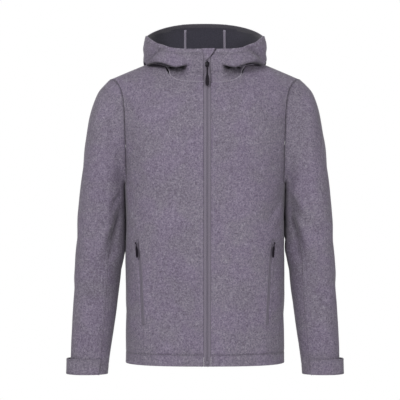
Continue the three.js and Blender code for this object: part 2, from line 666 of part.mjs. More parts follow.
// The pocket zips lie over the pocket seams.
const pocketX = through(pocketSeam, "up", "x");
const upOf = (z) => (z - hem) / (underarm - hem);
const pocketRows = 10;
const pocketSheet = grid(pocketRows, 2, (row, column) => {
  const up = upOf(lerp(pocket.bottom, pocket.top, row / pocketRows));
  const x = pocketX(up) + (column - 1) * pocket.halfX;
  return { point: bodyPoint(x, up, -1), normal: bodyNormal(x, up, -1) };
});
addPair("pocket_zip", pocketSheet, "zip", pocket.wall, pocket.wall + gap);
for (const [name, way] of [["left", 1], ["right", -1]]) {
  const up = upOf(pocketPull.z);
  const facing = bodyNormal(pocketX(up), up, -1);
  const at = bodyPoint(pocketX(up), up, -1).addScaledVector(facing, pocket.wall + gap);
  at.setX(way * at.x);
  facing.setX(way * facing.x);
  addSlider("pocket_" + name, at, facing, pocketSlider, pocketPull);
}

// The seam tapes inside the hood, below its rim.
const tapeRows = halfHoodSheet.filter((_, row) => {
  const share = row / mesh.hood;
  return share >= tape.from && share <= tape.to;
});
const tapeNodes = tapeRows.map((row) => ({ point: row[seamColumn].point, normal: row[seamColumn].normal }));
const tapeAcross = (i) => {
  const row = tapeRows[i];
  return row[seamColumn + 1].point.clone().sub(row[seamColumn - 1].point).normalize();
};
const tapeSheet = strip(tapeNodes, tapeAcross, tape.width, 1);
addPair("hood_tape", tapeSheet, "tape", tape.wall, -wall - tape.lift);

// The cuff tabs go round the outside of the sleeve's end, and stand off it at the outer edge.
const tabRows = [0, 0.5, 1];
const lastRings = sleeve.slice(-2);
const tabCut = cut(lastRings, around - tab.rearColumns, around + fore);
const tabSheet = tabRows.map((t) =>
  tabCut[0].map((node, column) => {
    const [above, below] = [node, tabCut[1][column]];
    const drop = above.point.distanceTo(below.point);
    const share = 1 - (tab.height / drop) * (1 - t);
    const turn = (column - tab.rearColumns) / (column < tab.rearColumns ? tab.rearColumns : fore);
    const stand = tab.stand * Math.cos((turn * Math.PI) / 2) ** 2;
    const normal = above.normal.clone().lerp(below.normal, share).normalize();
    return { point: above.point.clone().lerp(below.point, share).addScaledVector(normal, stand), normal };
  }),
);
addPair("cuff_tab", tabSheet, "shell", tab.wall, tab.wall + gap);

export default jacket;
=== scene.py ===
# A hooded softshell jacket, filled out as worn with nobody in it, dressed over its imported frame.
# Sizes are in millimetres, as on a pattern, and every mesh is made in metres. The front faces -Y,
# and left is the wearer's left, at +X. The left side is worked out, and turned over for the right.
import math
import time

import bmesh
import bpy
import numpy as np
from mathutils import Matrix, Vector, noise
from mathutils.bvhtree import BVHTree
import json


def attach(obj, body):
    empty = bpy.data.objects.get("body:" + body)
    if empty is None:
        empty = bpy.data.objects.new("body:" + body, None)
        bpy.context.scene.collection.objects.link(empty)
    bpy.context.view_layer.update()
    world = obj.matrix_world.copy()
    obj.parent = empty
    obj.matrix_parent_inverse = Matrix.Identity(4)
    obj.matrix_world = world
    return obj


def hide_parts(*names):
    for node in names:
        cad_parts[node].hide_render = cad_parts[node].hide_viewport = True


started = time.time()
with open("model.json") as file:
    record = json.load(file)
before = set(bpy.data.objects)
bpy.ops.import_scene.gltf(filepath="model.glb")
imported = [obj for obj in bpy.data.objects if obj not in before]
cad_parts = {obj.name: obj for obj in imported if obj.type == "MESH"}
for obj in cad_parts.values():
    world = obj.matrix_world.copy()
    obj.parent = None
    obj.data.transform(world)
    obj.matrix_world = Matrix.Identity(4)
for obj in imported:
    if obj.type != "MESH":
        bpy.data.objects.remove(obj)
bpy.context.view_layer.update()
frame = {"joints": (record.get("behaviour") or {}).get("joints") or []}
jacketBody = "jacket"


def report(stage):
    print(f"{time.time() - started:6.1f} s  {stage}")


def table(columns, *rows):
    return [dict(zip(columns.split(), row)) for row in rows]


def placed(name, data):
    # a new object at the origin, in the scene
    item = bpy.data.objects.new(name, data)
    bpy.context.scene.collection.objects.link(item)
    return item


def lerp(a, b, t):
    return a + (b - a) * t


def bell(x, middle, wide):
    return np.exp(-(((x - middle) / wide) ** 2))


def eased(share):
    return share * share * (3 - 2 * share)


def lengthsAlong(line):
    return np.concatenate([[0], np.cumsum(np.linalg.norm(np.diff(line, axis=0), axis=-1))])


def curved(start, end, leave, arrive, u):
    # a cubic from start to end, with the directions that it leaves and arrives in
    return (
        start * (2 * u**3 - 3 * u**2 + 1)
        + leave * (u**3 - 2 * u**2 + u)
        + end * (3 * u**2 - 2 * u**3)
        + arrive * (u**3 - u**2)
    )


def through(rows, by, column):
    # a smooth function through one column of a table, by another that rises or falls
    at = np.array([row[by] for row in rows], float)
    value = np.array([row[column] for row in rows], float)
    if at[-1] < at[0]:
        at, value = at[::-1], value[::-1]
    last = len(at) - 1
    before, after = np.maximum(np.arange(last + 1) - 1, 0), np.minimum(np.arange(last + 1) + 1, last)
    slope = (value[after] - value[before]) / (at[after] - at[before])

    def smooth(x):
        x = np.clip(x, at[0], at[-1])
        i = np.clip(np.searchsorted(at, x, side="right") - 1, 0, last - 1)
        span = at[i + 1] - at[i]
        t = (x - at[i]) / span
        rise = (value[i + 1] - value[i]) * eased(t)
        return value[i] + rise + span * t * (1 - t) * (slope[i] * (1 - t) - slope[i + 1] * t)

    return smooth


def alongRows(rows):
    # a smooth function for each column of a table, by the share of its rows that is passed
    steps = [dict(row, step=i / (len(rows) - 1)) for i, row in enumerate(rows)]
    return {column: through(steps, "step", column) for column in rows[0]}


# The camera stands in front of the chest, level and straight on, in metres.
cameraSizes = {"at": (-0.012, -4.0, -0.339), "lens": 150, "sensor": 36}
cameraData = bpy.data.cameras.new("camera")
cameraData.lens = cameraSizes["lens"]
cameraData.sensor_width = cameraSizes["sensor"]
camera = placed("camera", cameraData)
camera.location = cameraSizes["at"]
camera.rotation_euler = (math.pi / 2, 0, 0)
bpy.context.scene.camera = camera


# Shader and geometry nodes

class Wire:
    # An output socket that can be added, multiplied and so on, which adds Math nodes.
    def __init__(self, net, socket):
        self.net, self.socket = net, socket

    def math(self, operation, first, second=None):
        inputs = {0: first} if second is None else {0: first, 1: second}
        return self.net.add("ShaderNodeMath", {"operation": operation}, inputs)

    def __add__(self, other):
        return self.math("ADD", self, other)

    def __radd__(self, other):
        return self.math("ADD", other, self)

    def __sub__(self, other):
        return self.math("SUBTRACT", self, other)

    def __rsub__(self, other):
        return self.math("SUBTRACT", other, self)

    def __mul__(self, other):
        return self.math("MULTIPLY", self, other)

    def __rmul__(self, other):
        return self.math("MULTIPLY", other, self)

    def absolute(self):
        return self.math("ABSOLUTE", self)


class Net:
    # Adds nodes to a tree: their type, their settings, then the values or links of their inputs.
    def __init__(self, tree):
        self.tree = tree

    def add(self, kind, settings=None, inputs=None, out=0):
        node = self.tree.nodes.new(kind)
        for key, value in (settings or {}).items():
            if key == "stops":
                for _ in value[2:]:
                    node.color_ramp.elements.new(0.5)
                for element, (position, colour) in zip(node.color_ramp.elements, value):
                    element.position = position
                    element.color = (*colour, 1)
            else:
                setattr(node, key, value)
        for key, value in (inputs or {}).items():
            if isinstance(value, Wire):
                self.tree.links.new(value.socket, node.inputs[key])
            else:
                node.inputs[key].default_value = value
        return Wire(self, node.outputs[out])

    def mix(self, share, first, second):
        first, second = ((*c, 1) if isinstance(c, tuple) else c for c in (first, second))
        return self.add("ShaderNodeMix", {"data_type": "RGBA"}, {0: share, 6: first, 7: second}, 2)

    def noise(self, vector, scale, detail, roughness):
        inputs = {"Vector": vector, "Scale": scale, "Detail": detail, "Roughness": roughness}
        return self.add("ShaderNodeTexNoise", {}, inputs)

    def ramp(self, value, *stops):
        return self.add("ShaderNodeValToRGB", {"stops": stops}, {0: value})


def linear(red, green, blue):
    # a screen colour of 0 to 255 as the shader's linear one
    shares = [c / 255 for c in (red, green, blue)]
    return tuple(c / 12.92 if c <= 0.04 else ((c + 0.055) / 1.055) ** 2.4 for c in shares)


def greys(low, high):
    # ramp stops from black to white
    return (low, (0, 0, 0)), (high, (1, 1, 1))


def shader(name, **plain):
    # a material with its Principled shader, whose unchanging numbers are set on the sockets
    material = bpy.data.materials.new(name)
    material.use_nodes = True
    net = Net(material.node_tree)
    principled = material.node_tree.nodes["Principled BSDF"]
    for key, value in plain.items():
        principled.inputs[key.replace("_", " ")].default_value = value
    feed = lambda key, wire: material.node_tree.links.new(wire.socket, principled.inputs[key])
    return material, net, feed


def bump(net, height, distance, strength):
    return net.add("ShaderNodeBump", {}, {"Height": height, "Distance": distance, "Strength": strength})


softshellLook = {
    "dark": (70, 63, 77),
    "low": (94, 86, 101),
    "high": (109, 101, 116),
    "pale": (128, 121, 135),
    "fleck": (166, 160, 172),
    "warm": (0.995, 1.015, 0.98),  # the heather's drift between grey and violet
    "cool": (1.0, 0.975, 1.02),
    # painted shade: the near-black that the cloth's colour is painted towards in deep folds and hollows
    "fold": (12, 8, 14),
    "curl": (168, 163, 174),
    "curled": 0.26,
    "roughness": 0.88,
    "patch": 260,  # how many to the metre, from here down
    "curls": 190,
    "fibre": 900,
    "knit": 1250,
    "drift": 17,
    "cloud": 9,
}


def softshell(look):
    plain = {"Sheen_Weight": 0.14, "Sheen_Roughness": 0.5, "Specular_IOR_Level": 0.25}
    material, net, feed = shader("heatherSoftshell", **plain)
    place = net.add("ShaderNodeTexCoord", out=3)
    flat = net.add("ShaderNodeUVMap", {"uv_map": "cloth"})
    stretched = net.add("ShaderNodeMapping", {}, {"Vector": flat, "Scale": (0.45, 1.6, 1)})
    patch = net.noise(place, look["patch"], 3, 0.65)
    fibre = net.noise(stretched, look["fibre"], 2, 0.6)
    cloud = net.noise(place, look["cloud"], 2, 0.5)
    mottle = patch * 0.62 + fibre * 0.3 + cloud * 0.08
    shades = zip((0.33, 0.44, 0.54, 0.64, 0.74), ("dark", "low", "high", "pale", "fleck"))
    heather = net.ramp(mottle, *((position, linear(*look[key])) for position, key in shades))
    drift = net.ramp(net.noise(place, look["drift"], 2, 0.5), *greys(0.4, 0.6))
    tint = net.mix(drift, look["warm"], look["cool"])
    # short curled light fibres, gathered in places
    thin = (net.noise(place, look["curls"], 1, 0.4) - 0.5).absolute()
    lit = net.ramp(thin, (0.015, (1, 1, 1)), (0.05, (0, 0, 0)))
    gathered = net.ramp(net.noise(place, look["curls"] * 0.6, 2, 0.5), *greys(0.42, 0.6))
    curled = net.mix(lit * gathered * look["curled"], heather, linear(*look["curl"]))
    tinted = net.add("ShaderNodeVectorMath", {"operation": "MULTIPLY"}, {0: curled, 1: tint})
    # painted shade: the colour is mixed towards that near-black as far as the shade attribute on each panel
    # says
    depth = net.add("ShaderNodeAttribute", {"attribute_name": "shade"}, out=2)
    feed("Base Color", net.mix(depth, tinted, linear(*look["fold"])))
    feed("Roughness", look["roughness"] + (fibre - 0.5) * 0.12)
    wave = {"Vector": flat, "Scale": look["knit"], "Distortion": 1.5, "Detail": 1.0, "Detail Scale": 2.0}
    ribs = net.add("ShaderNodeTexWave", {"wave_profile": "SIN", "bands_direction": "X"}, wave)
    feed("Normal", bump(net, ribs * 0.35 + fibre * 0.65, 0.00022, 0.55))
    return material


def twoTones(net, value, low, high, dark, light):
    return net.ramp(value, (low, linear(*dark)), (high, linear(*light)))


def fleece(name, light, dark, scale):
    material, net, feed = shader(name, Sheen_Weight=0.2, Sheen_Roughness=0.6)
    place = net.add("ShaderNodeTexCoord", out=3)
    nap = net.noise(place, scale, 3, 0.6)
    tufts = net.noise(place, scale * 3.2, 2, 0.6)
    feed("Base Color", twoTones(net, nap * 0.6 + tufts * 0.4, 0.35, 0.65, dark, light))
    feed("Roughness", 0.92 + (nap - 0.5) * 0.08)
    feed("Normal", bump(net, nap * 0.5 + tufts * 0.5, 0.0006, 0.6))
    return material


def wovenTape(name, light, dark, rib):
    material, net, feed = shader(name)
    flat = net.add("ShaderNodeUVMap", {"uv_map": "cloth"})
    wave = {"Vector": flat, "Scale": rib, "Distortion": 0.4, "Detail": 0.0}
    ribs = net.add("ShaderNodeTexWave", {"wave_profile": "SIN", "bands_direction": "DIAGONAL"}, wave)
    threads = net.noise(flat, rib, 2, 0.6)
    feed("Base Color", twoTones(net, ribs * 0.5 + threads * 0.5, 0.3, 0.7, dark, light))
    feed("Roughness", 0.72 + (threads - 0.5) * 0.2)
    feed("Normal", bump(net, ribs * 0.6 + threads * 0.4, 0.00018, 0.6))
    return material


def moulded(name, light, dark, roughness, **plain):
    # moulded plastic or painted metal, with faint scuffs
    material, net, feed = shader(name, **plain)
    place = net.add("ShaderNodeTexCoord", out=3)
    scuff = net.noise(place, 700, 3, 0.7)
    grain = net.noise(place, 3500, 1, 0.5)
    feed("Base Color", twoTones(net, scuff, 0.45, 0.75, dark, light))
    feed("Roughness", roughness + (scuff - 0.5) * 0.35)
    feed("Normal", bump(net, grain, 0.00005, 0.5))
    return material


def threadLike(name, light, dark):
    material, net, feed = shader(name, Sheen_Weight=0.2)
    place = net.add("ShaderNodeTexCoord", out=3)
    twist = net.noise(place, 2600, 2, 0.6)
    feed("Base Color", twoTones(net, twist, 0.35, 0.65, dark, light))
    feed("Roughness", 0.7 + (twist - 0.5) * 0.2)
    feed("Normal", bump(net, twist, 0.0001, 0.5))
    return material


shellCloth = softshell(softshellLook)
liningCloth = fleece("charcoalFleece", (57, 54, 69), (32, 30, 42), 420)
# painted shade: the outer cloth where it is turned in at the hems and the hood's rim, as a much darker copy
# with a fleece's nap
shadedTurnInCloth = fleece("turnedInPaintedShade", (74, 71, 80), (48, 45, 53), 520)
zipTape = wovenTape("zipTape", (111, 103, 117), (86, 80, 92), 1400)
pocketTape = wovenTape("pocketTape", (102, 95, 108), (84, 78, 90), 1400)
seamTape = wovenTape("seamTape", (140, 134, 148), (112, 106, 120), 900)
coilPlastic = moulded("coilPlastic", (117, 110, 123), (90, 84, 96), 0.5, Specular_IOR_Level=0.3)
pullRubber = moulded("pullRubber", (38, 31, 43), (14, 9, 17), 0.5, Specular_IOR_Level=0.12)
sliderMetal = moulded("sliderMetal", (40, 34, 46), (14, 10, 18), 0.42, Specular_IOR_Level=0.2)
topstitch = threadLike("topstitchThread", (140, 133, 146), (98, 92, 104))
hemThread = threadLike("hemThread", (84, 78, 90), (48, 43, 54))
coverThread = threadLike("coverThread", (170, 163, 176), (134, 127, 140))
report("materials")


# The cloth as grids of points

edgeSteps = (0, 0.35, 0.8, 1.4, 2.2, 3.2, 4.4, 5.8, 7.4, 9.4)  # where a wall has its points beside an edge
clothSizes = {
    "wall": 2.0,
    "step": 4.5,
    "turn": 1.1,
    "allowanceAt": 3.2,
    "allowanceWide": 2.6,
    "grooveWide": 1.1,
    "hemThick": 1.2,
    "hemSoft": 1.5,
    "hemShade": 0.24,
    "hemShadeWide": 2.6,
}
# each side of the jacket, its way out, and which edge of a sheet there is its grid's first and last column
sides = (("left", 1, "left", "right"), ("right", -1, "right", "left"))


def unit(vectors):
    return vectors / np.maximum(np.linalg.norm(vectors, axis=-1, keepdims=True), 1e-9)


def stations(points, params, edges, step=clothSizes["step"]):
    # params at even steps along a line of points, closer together beside the edges that are named
    lengths = lengthsAlong(points)
    near = np.array(edgeSteps)
    near = near[near < lengths[-1] * 0.4]
    start = near if edges in ("both", "start") else near[:1]
    end = near if edges in ("both", "end") else near[:1]
    low, high = start[-1], lengths[-1] - end[-1]
    count = max(int(round((high - low) / step)), 2)
    at = np.concatenate([start[:-1], np.linspace(low, high, count + 1), lengths[-1] - end[:-1][::-1]])
    return np.interp(at, lengths, params)


class Sheet:
    # A grid of points on the cloth's outer face, rows and columns, with what is worked out from it.
    def __init__(self, points, turned=False):
        self.points = (points * (-1, 1, 1))[:, ::-1] if turned else points
        self.measure()
        self.shape = points.shape[:2]
        self.relief, self.inside, self.shade = (np.zeros(self.shape) for _ in range(3))
        self.turnedIn = np.zeros(self.shape, bool)
        self.head = 0

    def measure(self):
        across, along = np.gradient(self.points, axis=1), np.gradient(self.points, axis=0)
        self.normals = unit(np.cross(across, along))
        wide = np.linalg.norm(np.diff(self.points, axis=1), axis=-1)
        tall = np.linalg.norm(np.diff(self.points, axis=0), axis=-1)
        left = np.pad(np.cumsum(wide, axis=1), ((0, 0), (1, 0)))
        first = np.pad(np.cumsum(tall, axis=0), ((1, 0), (0, 0)))
        self.away = {"left": left, "right": left[:, -1:] - left, "first": first, "last": first[-1:] - first}
        level = np.broadcast_to(first.mean(1, keepdims=True), left.shape)
        self.flat = np.stack([left - left[:, -1:] / 2, level], -1)

    def cut(self):
        # the flat width, length and area of the cloth, in metres; a curved head doesn't count for the width
        level = self.away["first"].mean(1) >= self.head
        wide, tall = self.away["left"][level, -1], self.away["first"][-1]
        a, b = self.points[1:, 1:] - self.points[:-1, :-1], self.points[1:, :-1] - self.points[:-1, 1:]
        area = np.linalg.norm(np.cross(a, b), axis=-1).sum() / 2
        return float(wide.max()) / 1000, float(tall.max()) / 1000, float(area) / 1e6

    def moveTo(self, points):
        self.points = points
        self.measure()

    def push(self, amount):
        self.moveTo(self.points + self.normals * amount[..., None])

    # painted shade: darkens the cloth's colour where shade falls, keeping the darker of the two
    def paintShade(self, share):
        self.shade = np.maximum(self.shade, share)

    def seamed(self, edges, raised=0.3, stitch=0, groove=0.3, turn=clothSizes["turn"]):
        # a turned edge, the allowance that lies under it, and the groove that a row of stitches pulls
        for edge in edges.split():
            away = self.away[edge]
            rolled = np.clip(turn - away, 0, turn)
            drop = turn - np.sqrt(np.maximum(turn**2 - rolled**2, 0))
            under = raised * bell(away, clothSizes["allowanceAt"], clothSizes["allowanceWide"])
            pulled = groove * bell(away, stitch, clothSizes["grooveWide"]) if stitch else 0
            self.relief += under - pulled - drop

    def outer(self):
        return self.points + self.normals * self.relief[..., None]

    def line(self, side, away, start=0.0, end=1.0, lift=0.0):
        # the outer face's points and normals at a distance from an edge, from one share of it to another
        distance = self.away[side]
        grids = [self.outer() + self.normals * lift, self.normals]
        if side in ("left", "right"):
            distance, grids = distance.T, [g.transpose(1, 0, 2) for g in grids]
        if side in ("right", "last"):
            distance, grids = distance[::-1], [g[::-1] for g in grids]
        count = distance.shape[1]
        chosen = range(int(round(start * (count - 1))), int(round(end * (count - 1))) + 1)
        found = [
            np.array([[np.interp(away, distance[:, i], g[:, i, k]) for k in range(3)] for i in chosen])
            for g in grids
        ]
        return found[0], unit(found[1])


def foldedHem(sheet, side, height):
    # the cloth turned up inside an open edge and sewn down: rounded at the edge, thicker above it, with
    # painted shade along the stitched groove
    away, soft = sheet.away[side], clothSizes["hemSoft"]
    sheet.seamed(side, 0.15, height, 0.8)
    sheet.paintShade(clothSizes["hemShade"] * bell(away, height, clothSizes["hemShadeWide"]))
    sheet.inside += clothSizes["hemThick"] * np.clip((height + soft - away) / soft, 0, 1)
    sheet.turnedIn |= away < height + 1


def calmed(sheet, amount, over, *edges):
    # lets the waves and creases die away towards the edges that other pieces meet
    for edge in edges:
        amount = amount * eased(np.clip(sheet.away[edge] / over, 0, 1))
    return amount


def wavy(sheet, waves):
    # broad, shallow unevenness of hanging cloth, from waves of a size, height and seed
    total = np.zeros(sheet.shape)
    for size, height, seed in waves:
        offset = Vector((seed * 7.3, seed * 3.1, seed * 5.7))
        values = [noise.noise(Vector(p) / size + offset) for p in sheet.points.reshape(-1, 3)]
        total += height * np.array(values).reshape(sheet.shape)
    return total


facings = {"front": (0, -1, 0), "back": (0, 1, 0), "side": (1, 0, 0), "inner": (-1, 0, 0)}
creaseSizes = {
    "slide": 45,  # how much lower or higher the right side's creases lie, by how their depth differs
    "past": 60,  # how far over the middle a crease may run
    "ridge": 0.38,  # the ridge's height, place and width by those of the trough
    "ridgeAt": 1.9,
    "ridgeWide": 1.2,
}


def creased(sheet, creases):
    # Soft troughs with a low ridge beside them, between two places on the side that they face. Start
    # and end are (x or y, z), and other is how deep the same one is on the right side.
    size = creaseSizes
    total = np.zeros(sheet.shape)
    for crease in creases:
        for way in (1, -1):
            strength = crease["deep"] * (1 if way > 0 else crease["other"])
            if not strength:
                continue
            slide = 0 if way > 0 else (crease["other"] - 1) * size["slide"]
            facing = np.array(facings[crease["on"]], float) * (way, 1, 1)
            weight = np.clip((sheet.normals @ facing - 0.08) / 0.5, 0, 1)
            out, ahead, up = (sheet.points[..., k] for k in range(3))
            out = out * way
            weight = weight * (out > -size["past"])
            place = np.stack([ahead if crease["on"] in ("side", "inner") else out, up], -1)
            start = np.array(crease["start"], float) + (0, slide)
            chord = np.array(crease["end"], float) + (0, slide) - start
            length = np.hypot(*chord)
            along = ((place - start) @ chord) / length**2
            aside = ((place - start) @ np.array([-chord[1], chord[0]])) / length
            aside = aside - crease["bow"] * 4 * along * (1 - along)
            fade = np.clip(4 * (along + 0.08) * (1.08 - along) / 1.35, 0, 1) ** 1.2
            wide = crease["wide"] * lerp(0.75, 1.25, np.clip(along, 0, 1))
            ridge = size["ridge"] * bell(aside, size["ridgeAt"] * wide, size["ridgeWide"] * wide)
            total -= strength * weight * fade * (bell(aside, 0, wide) - ridge)
    return total


def shaded(sheet, amount, shallow=1.2, depth=9.0, most=0.5):
    # paints shade into the troughs, darker the deeper they go
    sheet.paintShade(np.clip((-amount - shallow) / depth, 0, most))
    return amount


def gridQuads(rows, columns):
    a = (np.arange(rows - 1)[:, None] * columns + np.arange(columns - 1)[None]).ravel()
    return np.stack([a, a + 1, a + columns + 1, a + columns], -1)


def shell(name, sheet, inner=liningCloth, wall=clothSizes["wall"], outer=shellCloth):
    # A closed wall of cloth: the first material is outside, the second inside and the third turned in, a
    # darker copy painted as in shade.
    rows, columns = sheet.shape
    inward = sheet.points - sheet.normals * (wall + sheet.inside)[..., None]
    points = np.concatenate([sheet.outer().reshape(-1, 3), inward.reshape(-1, 3)]) / 1000
    count = rows * columns
    outside = gridQuads(rows, columns)
    inside = outside[:, [0, 3, 2, 1]] + count
    rim = np.concatenate([
        np.arange(columns - 1),
        np.arange(rows - 1) * columns + columns - 1,
        np.arange(columns - 1, 0, -1) + (rows - 1) * columns,
        np.arange(rows - 1, 0, -1) * columns,
    ])
    after = np.roll(rim, -1)
    edge = np.stack([after, rim, rim + count, after + count], -1)
    faces = np.concatenate([outside, inside, edge])
    mesh = bpy.data.meshes.new(name)
    mesh.from_pydata(points.tolist(), [], faces.tolist())
    for cloth in (outer, inner, shadedTurnInCloth):
        mesh.materials.append(cloth)
    slots = np.zeros(len(faces), np.int32)
    turnedIn = sheet.turnedIn[:-1, :-1] & sheet.turnedIn[1:, 1:]
    slots[len(outside):len(outside) + len(inside)] = np.where(turnedIn.ravel(), 2, 1)
    mesh.polygons.foreach_set("material_index", slots)
    mesh.polygons.foreach_set("use_smooth", np.ones(len(faces), bool))
    layer = mesh.uv_layers.new(name="cloth")
    corners = np.zeros(len(mesh.loops), np.int32)
    mesh.loops.foreach_get("vertex_index", corners)
    flat = np.concatenate([sheet.flat.reshape(-1, 2)] * 2)[corners] / 1000
    layer.data.foreach_set("uv", flat.astype(np.float32).ravel())
    # painted shade: how far the outer face is painted darker where shade falls, in folds, hollows and along
    # seams
    shade = np.concatenate([sheet.shade.ravel(), np.zeros(count)]).astype(np.float32)
    mesh.attributes.new("shade", "FLOAT", "POINT").data.foreach_set("value", shade)
    mesh.update()
    return placed(name, mesh)


panels = {}  # each sheet by its solid's name
sewnOn = {}


def clothPiece(name, sheet, node, slot="softshell", sewnTo=None, **options):
    # a panel of cloth that stands for its solid, and hides the solid
    piece = shell(name, sheet, **options)
    panels[node] = sheet
    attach(piece, jacketBody)
    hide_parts(node)
    if sewnTo:
        sewnOn.setdefault(sewnTo, []).append(piece)
    else:
        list(sheet.cut())


# The body: its level sections, then the edges of its panels

bodySizes = {
    "hem": -727,
    "underarm": -296,
    "underarmDip": 12,
    "tip": 230,
    "slope": 0.43,
    "soften": 30,
    "lift": 6,
    "planPower": 2.5,
    "profilePower": 2.5,
    "rowEase": 1.4,
    "zipEdge": 8.5,
    "zipMiddle": 5,  # how far the zip lies to the left
    "hemHeight": 27,
    "calm": 22,
    "waves": ((95, 1.2, 1), (38, 0.35, 10)),
}
# painted shade in the body's and hood's broad folds: how deep a trough goes before it is painted darker, and
# over how much more
foldShade = {"shallow": 1.6, "depth": 16}  # for the body's and hood's broad folds
bodyRings = table(
    "z half front back",
    (-727, 190, 122, 116),
    (-600, 190, 120, 108),
    (-470, 191, 124, 112),
    (-296, 193, 132, 128),
    (-150, 214, 132, 128),
    (-56, 246, 132, 128),
    (0, 262, 132, 128),
)
pocketSeam = table("up x", (0, 147), (0.22, 145), (0.68, 158), (0.86, 180), (1, 186))
backSeam = table("up x", (0, 166), (0.5, 164), (1, 178))
frontArmhole = table("up x", (1, 186), (1.3, 188), (1.62, 194), (1.85, 213), (2, bodySizes["tip"]))
backArmhole = table("up x", (1, 178), (1.3, 194), (1.62, 204), (1.85, 218), (2, bodySizes["tip"]))
neckSizes = {
    "half": 97,
    "frontUp": 1.63,
    "frontPower": 4,
    "backUp": 1.831,
    "backPower": 2.6,
    "columnFoot": 115,
    "columnEase": 1.6,
    "fade": 2.5,
    "edgeFade": 5,
    "share": 8 / 13,  # of a panel's columns lie under the neck
    "underarmShare": 9 / 17,  # of its rows lie below the underarm
}
bodyHalf = through(bodyRings, "z", "half")
bodyDepths = {-1: through(bodyRings, "z", "front"), 1: through(bodyRings, "z", "back")}


def shoulderLine(x):
    past = np.abs(x) - neckSizes["half"]
    return bodySizes["lift"] - bodySizes["slope"] * (np.hypot(past, bodySizes["soften"]) + past) / 2


def bodyPoint(x, up, face):
    lift = np.clip(up - 1, 0, 1) ** bodySizes["rowEase"] * math.pi / 2
    power = bodySizes["profilePower"]
    low = lerp(bodySizes["hem"], bodySizes["underarm"], up)
    high = lerp(bodySizes["underarm"], shoulderLine(x), np.sin(lift) ** (2 / power))
    z = np.where(up < 1, low, high)
    inward = np.clip(np.cos(lift), 0, None) ** (2 / power)
    share = np.minimum(np.abs(x) / bodyHalf(z), 1) ** bodySizes["planPower"]
    depth = bodyDepths[face](np.minimum(z, bodySizes["underarm"]))
    return np.stack([x, face * depth * inward * (1 - share) ** (1 / bodySizes["planPower"]), z], -1)


def bodyTop(x, y):
    # the height of the body's upper side over points of the plan
    z = np.zeros_like(x)
    full = np.where(y < 0, *(bodyDepths[face](bodySizes["underarm"]) for face in (-1, 1)))
    for _ in range(4):
        share = np.minimum(np.abs(x) / bodyHalf(z), 1) ** bodySizes["planPower"]
        deep = full * (1 - share) ** (1 / bodySizes["planPower"])
        out = np.minimum(np.abs(y) / np.maximum(deep, 1), 1) ** bodySizes["profilePower"]
        z = lerp(bodySizes["underarm"], shoulderLine(x), (1 - out) ** (1 / bodySizes["profilePower"]))
    return z


def neckline(turn, face, inner):
    # the neck seam as x and how far up the panel, by its turn from the front or back to the side
    power = neckSizes["frontPower"] if face < 0 else neckSizes["backPower"]
    top = neckSizes["frontUp"] if face < 0 else neckSizes["backUp"]
    x = lerp(inner, neckSizes["half"], np.sin(turn) ** (2 / power))
    return x, 2 - (2 - top) * np.clip(np.cos(turn), 0, None) ** (2 / power)


fineTurns = np.linspace(0, math.pi / 2, 400) ** 2 / (math.pi / 2)


def evenTurns(face, inner):
    # turns by an even share of the neck seam's length
    lengths = lengthsAlong(bodyPoint(*neckline(fineTurns, face, inner), face))
    return lambda share: np.interp(share * lengths[-1], lengths, fineTurns)


def panelPoint(face, inner):
    # a function of s, from the centre out, and t, from the hem up, that gives points of a panel
    seam = through(pocketSeam if face < 0 else backSeam, "up", "x")
    armhole = through(frontArmhole if face < 0 else backArmhole, "up", "x")
    neckUp = neckSizes["frontUp"] if face < 0 else neckSizes["backUp"]
    split, low, foot = neckSizes["share"], neckSizes["underarmShare"], neckSizes["columnFoot"]
    turns = evenTurns(face, inner)

    def rise(t, top):
        return np.interp(t, [0, low, 1], [0, 1, top])

    def between(s, t):
        x, up = neckline(turns(np.clip(s / split, 0, 1)), face, inner)
        headX = np.where(s <= split, x, np.interp(s, [split, 1], [neckSizes["half"], bodySizes["tip"]]))
        headUp = np.where(s <= split, up, 2)
        footX = np.interp(s, [0, split, 1], [inner, foot, seam(0)])
        x = lerp(footX, headX, t ** neckSizes["columnEase"])
        return x, 2 * t - (2 - headUp) * t ** neckSizes["fade"]

    def place(s, t):
        s, t = np.broadcast_arrays(s, t)
        reach = s ** neckSizes["edgeFade"]
        outerX = np.where(t <= low, seam(rise(t, 2)), armhole(rise(t, 2)))
        edges = ((inner, rise(t, neckUp)), (outerX, rise(t, 2)))
        middle, first, last = between(s, t), between(0 * s, t), between(0 * s + 1, t)
        x, up = (
            middle[k] + (1 - reach) * (edges[0][k] - first[k]) + reach * (edges[1][k] - last[k])
            for k in range(2)
        )
        return bodyPoint(x, up, face)

    return place


def gridOf(place, sideEdges="both"):
    # points of a surface at even steps each way, closer together beside its edges
    fine = np.linspace(0, 1, 300)
    s = stations(place(fine, 0.35 + 0 * fine), fine, sideEdges)
    t = stations(place(0.5 + 0 * fine, fine), fine, "both")
    return place(s[None, :], t[:, None])


def sidePoint(s, t):
    # the side panel, from the pocket seam round to the back seam, with its dipped top edge
    fore, aft = through(pocketSeam, "up", "x"), through(backSeam, "up", "x")
    power = bodySizes["planPower"]
    s, t = np.broadcast_arrays(s, t)
    level = lerp(bodySizes["hem"], bodySizes["underarm"], t)
    turnOf = lambda x: np.arcsin((x / bodyHalf(level)) ** (power / 2))
    turn = lerp(turnOf(fore(t)), math.pi - turnOf(aft(t)), s)
    z = level - t**4 * bodySizes["underarmDip"] * np.sin(math.pi * s)
    x = bodyHalf(z) * np.sin(turn) ** (2 / power)
    depth = np.where(turn < math.pi / 2, -bodyDepths[-1](z), bodyDepths[1](z))
    return np.stack([x, depth * np.abs(np.cos(turn)) ** (2 / power), z], -1)


